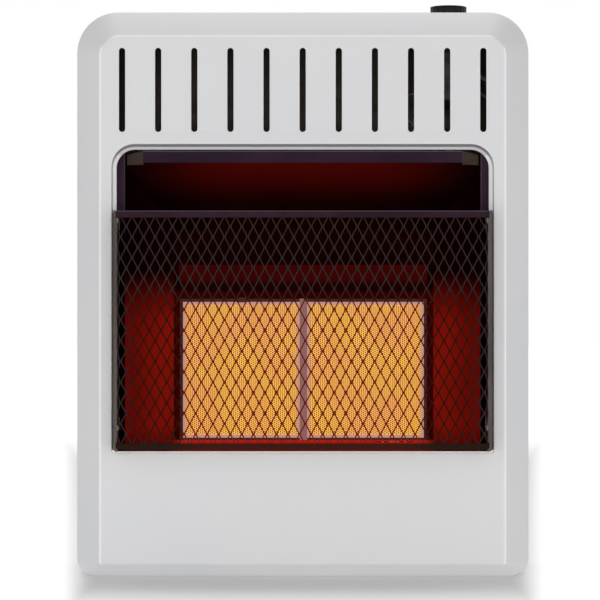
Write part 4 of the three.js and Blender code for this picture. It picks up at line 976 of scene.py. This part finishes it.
# Guard
# Expanded metal held in two folded rails, bent round at both sides and hooked into the
# firebox's flanges. All of it is dark enamel; the hooks' crimped tabs are bright zinc.
guard_low, guard_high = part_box("guard_top_rail")
foot_low, foot_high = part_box("guard_bottom_rail")
guard_y = guard_low.y
guard_rear = guard_high.y
guard_half = 0.1909
guard_rear_half = guard_high.x
guard_corner = 0.0035
corner_bends = 8
rail_fold = 0.001
rail_drop = 0.0005
foot_rise = 0.0009
rail_depth = 0.0037
mesh_depth = 0.0017
diamond_width = 0.011868
diamond_height = 0.02133
diamond_x = -0.1810
diamond_z = 0.3659
strand_width = 0.0015
strand_thick = 0.0011
strand_chamfer = 0.00025
bond_half = 0.0011
mesh_columns = 67
first_column = -3
strip_depth = -0.0003
strip_low = 0.1340
# Zones of the strands' painted shade and painted red light.
shade_glow_half = 0.180
shade_glow_levels = (0.148, 0.295)
glare_half = 0.123
glare_top = 0.288
tab_place = 0.1898
tab_half = 0.0011
tab_depth = 0.0004
tab_round = 0.0003
tab_pinch = 0.75
tab_steps = 13
tab_levels = ((0.1560, 0.1620), (0.3690, 0.3755))


def guard_plan(inset):
    """Plan of the guard at an inset from its outer face: a splayed return, a rounded corner,
    the flat front and the same again. Gives the points, left to right, and their lengths."""
    back = np.array((guard_rear_half, guard_rear))
    front = np.array((guard_half, guard_y))
    run = (back - front) / np.linalg.norm(back - front)
    opening = math.acos(-run[0])
    reach = guard_corner / math.tan(opening / 2)
    bisector = run + (-1.0, 0.0)
    centre = front + bisector / np.linalg.norm(bisector) * guard_corner / math.sin(opening / 2)
    first, last = front + (-reach, 0.0) - centre, front + run * reach - centre
    turn = np.linspace(
        math.atan2(first[1], first[0]), math.atan2(last[1], last[0]), corner_bends + 1)
    arc = on_circle(*centre, guard_corner - inset, turn)
    normal = np.array((run[1], -run[0]))
    end = back - normal * inset
    right = np.vstack((arc, end[None]))
    left = right[::-1] * (-1.0, 1.0)
    points = np.vstack((left, right))
    length = np.concatenate(([0.0], np.cumsum(np.linalg.norm(np.diff(points, axis=0), axis=1))))
    return points, length - length[-1] / 2


def on_plan(inset, length_at):
    """Point of the guard's plan at a length from its middle, measured on the mesh's plan."""
    points, _ = guard_plan(inset)
    _, length = guard_plan(mesh_depth)
    return np.stack([np.interp(length_at, length, points[:, k]) for k in (0, 1)], axis=-1)


def strands():
    """Expanded metal: upright zigzags, half a diamond apart, each flat for a moment at the
    bonds where it meets its neighbour. The section is a chamfered strip."""
    low = foot_low.z + rail_fold
    high = guard_high.z - rail_fold
    column = np.arange(mesh_columns) + first_column
    bottom_row = math.floor((low - diamond_z) / (diamond_height / 2))
    top_row = math.ceil((high - diamond_z) / (diamond_height / 2))
    row = np.arange(bottom_row, top_row + 1)
    bond = diamond_z + row * diamond_height / 2
    z = np.clip(np.column_stack((bond - bond_half, bond + bond_half)).ravel(), low, high)
    swing = np.where((row[None] + column[:, None]) % 2 == 0, -1.0, 1.0)
    swing = np.repeat(swing, 2, axis=1) * (diamond_width / 4 - strand_width / 2)
    middle = diamond_x + (column[:, None] + 0.5) * diamond_width / 2 + swing
    w, t, c = strand_width / 2, strand_thick / 2, strand_chamfer
    section = np.array([(-w + c, -t), (w - c, -t), (w, -t + c), (w, t - c), (w - c, t),
                        (-w + c, t), (-w, t - c), (-w, -t + c)])
    s = middle[:, :, None] + section[:, 0]
    front, back = on_plan(mesh_depth - t, s), on_plan(mesh_depth + t, s)
    share = (section[:, 1:] + t) / (2 * t)
    plan = front * (1 - share) + back * share
    height = np.broadcast_to(z[None, :, None, None], (*s.shape, 1))
    rings = np.concatenate((plan, height), axis=-1)
    return stitched(*[capped([strand]) for strand in rings])


def rail(low, high, mouth_down):
    """Folded channel carried along the guard's plan: an outer face, a round fold and an
    inner leg, with the sheets in its mouth."""
    turn = np.linspace(0.0, np.pi, 9)
    radius = rail_depth / 2
    leg = high - low
    depth, rise = np.vstack((
        (0.0, leg), on_circle(radius, radius, -radius, turn), (rail_depth, leg),
        (rail_depth - rail_fold, leg), on_circle(radius, radius, radius - rail_fold, -turn),
        (rail_fold, leg))).T
    z = high - rise if mouth_down else low + rise
    rings = np.stack([
        at_height(guard_plan(inset)[0], height) for inset, height in zip(depth, z)], axis=1)
    points, faces = wrapped([rings])
    count = len(depth)
    ends = [
        [start + k, start + k + 1, start + count - 2 - k, start + count - 1 - k]
        for start in (0, len(points) - count) for k in range(count // 2 - 1)]
    return points, faces + ends


def return_strip(side):
    """Plain strip at the rear of the guard's return, from the mesh to the casing."""
    _, length = guard_plan(mesh_depth)
    start = diamond_width / 4 * mesh_columns - strand_width / 2
    s = np.linspace(start, length[-1], 6)
    near, far = on_plan(strip_depth, s), on_plan(mesh_depth + strand_thick / 2, s)
    loop = np.vstack((near, far[::-1])) * (side, 1.0)
    return capped([at_height(loop, z) for z in (strip_low, guard_high.z - rail_fold)])


def hook_tab(side, low, high):
    """Bright tab of a hook, crimped over the mesh's edge at the corner: a narrow leaf whose
    half width follows a sine along its height."""
    turn = np.linspace(0.0, np.pi, tab_steps)
    bulge = tab_half * np.sin(turn)
    height = (low + high) / 2 - (high - low) / 2 * np.cos(turn)
    s = tab_place + np.concatenate((bulge, -bulge[-2:0:-1]))
    z = np.concatenate((height, height[-2:0:-1]))
    rings = []
    for inset in (mesh_depth, tab_depth + tab_round, tab_depth):
        pinch = tab_place + (s - tab_place) * (tab_pinch if inset == tab_depth else 1.0)
        plan = on_plan(inset, pinch) * (side, 1.0)
        rings.append(np.column_stack((plan, z)))
    return capped(rings)


def strand_enamel():
    """Enamel on the strands: brown-grey, with painted shade and a little painted red light over the
    lower middle where they stand against the firebox, and painted dull red light before the
    plaques."""
    finish, tree, shader, place = new_finish(
        "strand enamel", (0.018, 0.012, 0.014), 0.4, specular=0.05)
    peel, clouds = sprayed_coat(tree, place, 900.0, 25.0)
    # Painted shade and a little painted red light over the lower middle; more painted red light
    # before the plaques.
    shade_and_glow = zone(tree, place, 0.012, x=(None, shade_glow_half), z=shade_glow_levels)
    colour = blended(tree, clouds, (0.018, 0.010, 0.010), (0.030, 0.017, 0.017))
    coloured(tree, shader, blended(tree, shade_and_glow, colour, (0.008, 0.001, 0.0005)))
    rough(tree, shader, shade_and_glow, 0.4, 0.7, (0.0, 1.0))
    before = zone(tree, place, 0.003, x=(None, glare_half), z=(None, glare_top))
    red = math_node(tree, "ADD", math_node(tree, "MULTIPLY", shade_and_glow, 0.022),
                    math_node(tree, "MULTIPLY", before, 0.10))
    glowing(tree, shader, blended(tree, red, black, (1.0, 0.050, 0.004)))
    bumped(tree, shader, peel, 0.00004)
    return finish


# The guard's lower rail is painted a warmer brown with a dull red glow, painted light from the
# plaques, and the top rail's front edge has a painted highlight.
guard_enamel = lit_enamel(
    "guard enamel", (0.036, 0.018, 0.027), (0.022, 0.0110, 0.0080), 0.028,
    {"z": (None, guard_low.z)},
    ((edge_highlight, {"z": (guard_high.z - 0.0014, None), "y": (None, guard_y + 0.003)}),),
    (("x", 0.10, 0.14, 1.0, 0.0), ("z", 0.14, 0.16, 1.0, 0.0)))
strip_brown = (0.158, 0.132, 0.118)
strip_enamel = lit_enamel(
    "strip enamel", strip_brown, strip_brown, 0.0, {"z": (None, 0.0)}, (), ())
net = piece("guard_net", strands(), strand_enamel())
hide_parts("guard_mesh")
for node, side in (("guard_left_side", -1.0), ("guard_right_side", 1.0)):
    edge = piece(node + "_strip", return_strip(side), strip_enamel)
    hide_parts(node)
top_rail = piece("guard_rail_above",
                 rail(guard_low.z - rail_drop, guard_high.z - rail_drop, True), guard_enamel)
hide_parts("guard_top_rail")
low_rail = piece("guard_rail_below",
                 rail(foot_low.z + foot_rise, foot_high.z, False), guard_enamel)
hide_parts("guard_bottom_rail")
for node in ("guard_hook_upper_left", "guard_hook_lower_left",
             "guard_hook_upper_right", "guard_hook_lower_right"):
    eased(node, strip_enamel, 0.0002)
for label, side in sides:
    for number, (low, high) in enumerate(tab_levels):
        tab = piece(f"guard_hook_tab_{label}_{number + 1}", hook_tab(side, low, high), zinc)

# Floor, light and background
# A plain pale floor that fades into the white background, an even sky of light, soft lamps at
# both sides and before the front, and a broad lamp overhead that throws the short shadow.
floor_reach = 12.0
floor_nearest = 0.2
sky_strength = 0.365
white_back = 1.0
near_bounce = 0.29
far_bounce = 0.55
floor_aside = (0.222, 0.265)
floor_behind = (0.9, 2.9)
floor_before = (-0.45, -0.08)


def seen_directly(tree):
    """1 for camera, glossy and transmission rays, and 0 for the light on the object."""
    path = tree.nodes.new("ShaderNodeLightPath")
    total = path.outputs["Is Camera Ray"]
    for output in ("Is Glossy Ray", "Is Transmission Ray"):
        total = math_node(tree, "MAXIMUM", total, path.outputs[output])
    return total


def floor_finish():
    """Pale matt floor that turns to plain white away from the heater: across two lines that
    run from below the camera's place past its sides, far behind it, and a step in front."""
    finish, tree, shader, place = new_finish("pale floor", (0.86, 0.86, 0.86), 0.9)
    cloud = noise(tree, place, 1.5)
    parts = axes(tree, place)
    meet_x, meet_y = camera_place[:2]
    span = math_node(tree, "SUBTRACT", 1.0, math_node(tree, "DIVIDE", parts["Y"], meet_y))
    aside = math_node(tree, "DIVIDE", math_node(tree, "SUBTRACT", parts["X"], meet_x),
                      math_node(tree, "MAXIMUM", span, floor_nearest))
    aside = math_node(tree, "ABSOLUTE", math_node(tree, "ADD", aside, meet_x))
    white = math_node(tree, "MAXIMUM", between(tree, aside, *floor_aside, 0.0, 1.0),
                      between(tree, parts["Y"], *floor_behind, 0.0, 1.0))
    white = math_node(tree, "MAXIMUM", white,
                      between(tree, parts["Y"], *floor_before, 1.0, 0.0))
    pale = blended(tree, cloud, (0.85, 0.85, 0.85), (0.87, 0.87, 0.87))
    coloured(tree, shader, blended(tree, white, pale, black))
    seen = seen_directly(tree)
    bounce = math_node(tree, "ADD", math_node(tree, "MULTIPLY", white, far_bounce), near_bounce)
    bounce = math_node(tree, "MULTIPLY", bounce, math_node(tree, "SUBTRACT", 1.0, seen))
    shader.inputs["Emission Color"].default_value = (1.0, 1.0, 1.0, 1.0)
    tree.links.new(math_node(tree, "ADD", bounce, math_node(tree, "MULTIPLY", white, seen)),
                   shader.inputs["Emission Strength"])
    return finish


corner = np.array([(-1.0, -1.0, 0.0), (1.0, -1.0, 0.0), (1.0, 1.0, 0.0), (-1.0, 1.0, 0.0)])
floor_mesh = bpy.data.meshes.new("floor")
floor_mesh.from_pydata((corner * floor_reach).tolist(), [], [[0, 1, 2, 3]])
floor_mesh.materials.append(floor_finish())
new_object("floor", floor_mesh)

world = bpy.data.worlds.new("studio")
world.use_nodes = True
bpy.context.scene.world = world
sky = world.node_tree.nodes["Background"]
sky.inputs["Color"].default_value = (1.0, 1.0, 1.0, 1.0)
world.node_tree.links.new(
    between(world.node_tree, seen_directly(world.node_tree), 0.0, 1.0, sky_strength, white_back),
    sky.inputs["Strength"])

# Rectangular lamps that aren't seen. Each row: name, place, point it faces, size and power.
for name, place, target, size, power in (
        ("left lamp", (-1.15, -2.1, 0.80), (0.0, 0.0, 0.30), (0.7, 1.8), 4.9),
        ("right lamp", (1.15, -2.1, 0.80), (0.0, 0.0, 0.30), (0.7, 1.8), 4.7),
        ("front lamp", (0.0, -2.5, 0.45), (0.0, 0.0, 0.30), (1.6, 1.0), 5.8),
        ("low lamp", (0.0, -1.5, 0.05), (0.0, 0.0, 0.18), (1.8, 0.08), 3.6),
        ("overhead lamp", (0.0, 0.55, 2.3), (0.0, -0.1, 0.0), (1.6, 0.8), 14.0)):
    lamp = new_object(name, bpy.data.lights.new(name, "AREA"))
    lamp.data.shape = "RECTANGLE"
    lamp.data.size, lamp.data.size_y = size
    lamp.data.energy = power
    lamp.location = place
    aim = Vector(target) - Vector(place)
    lamp.rotation_euler = aim.to_track_quat("-Z", "Y").to_euler()
    lamp.visible_camera = False

bpy.context.scene.view_settings.view_transform = "Standard"
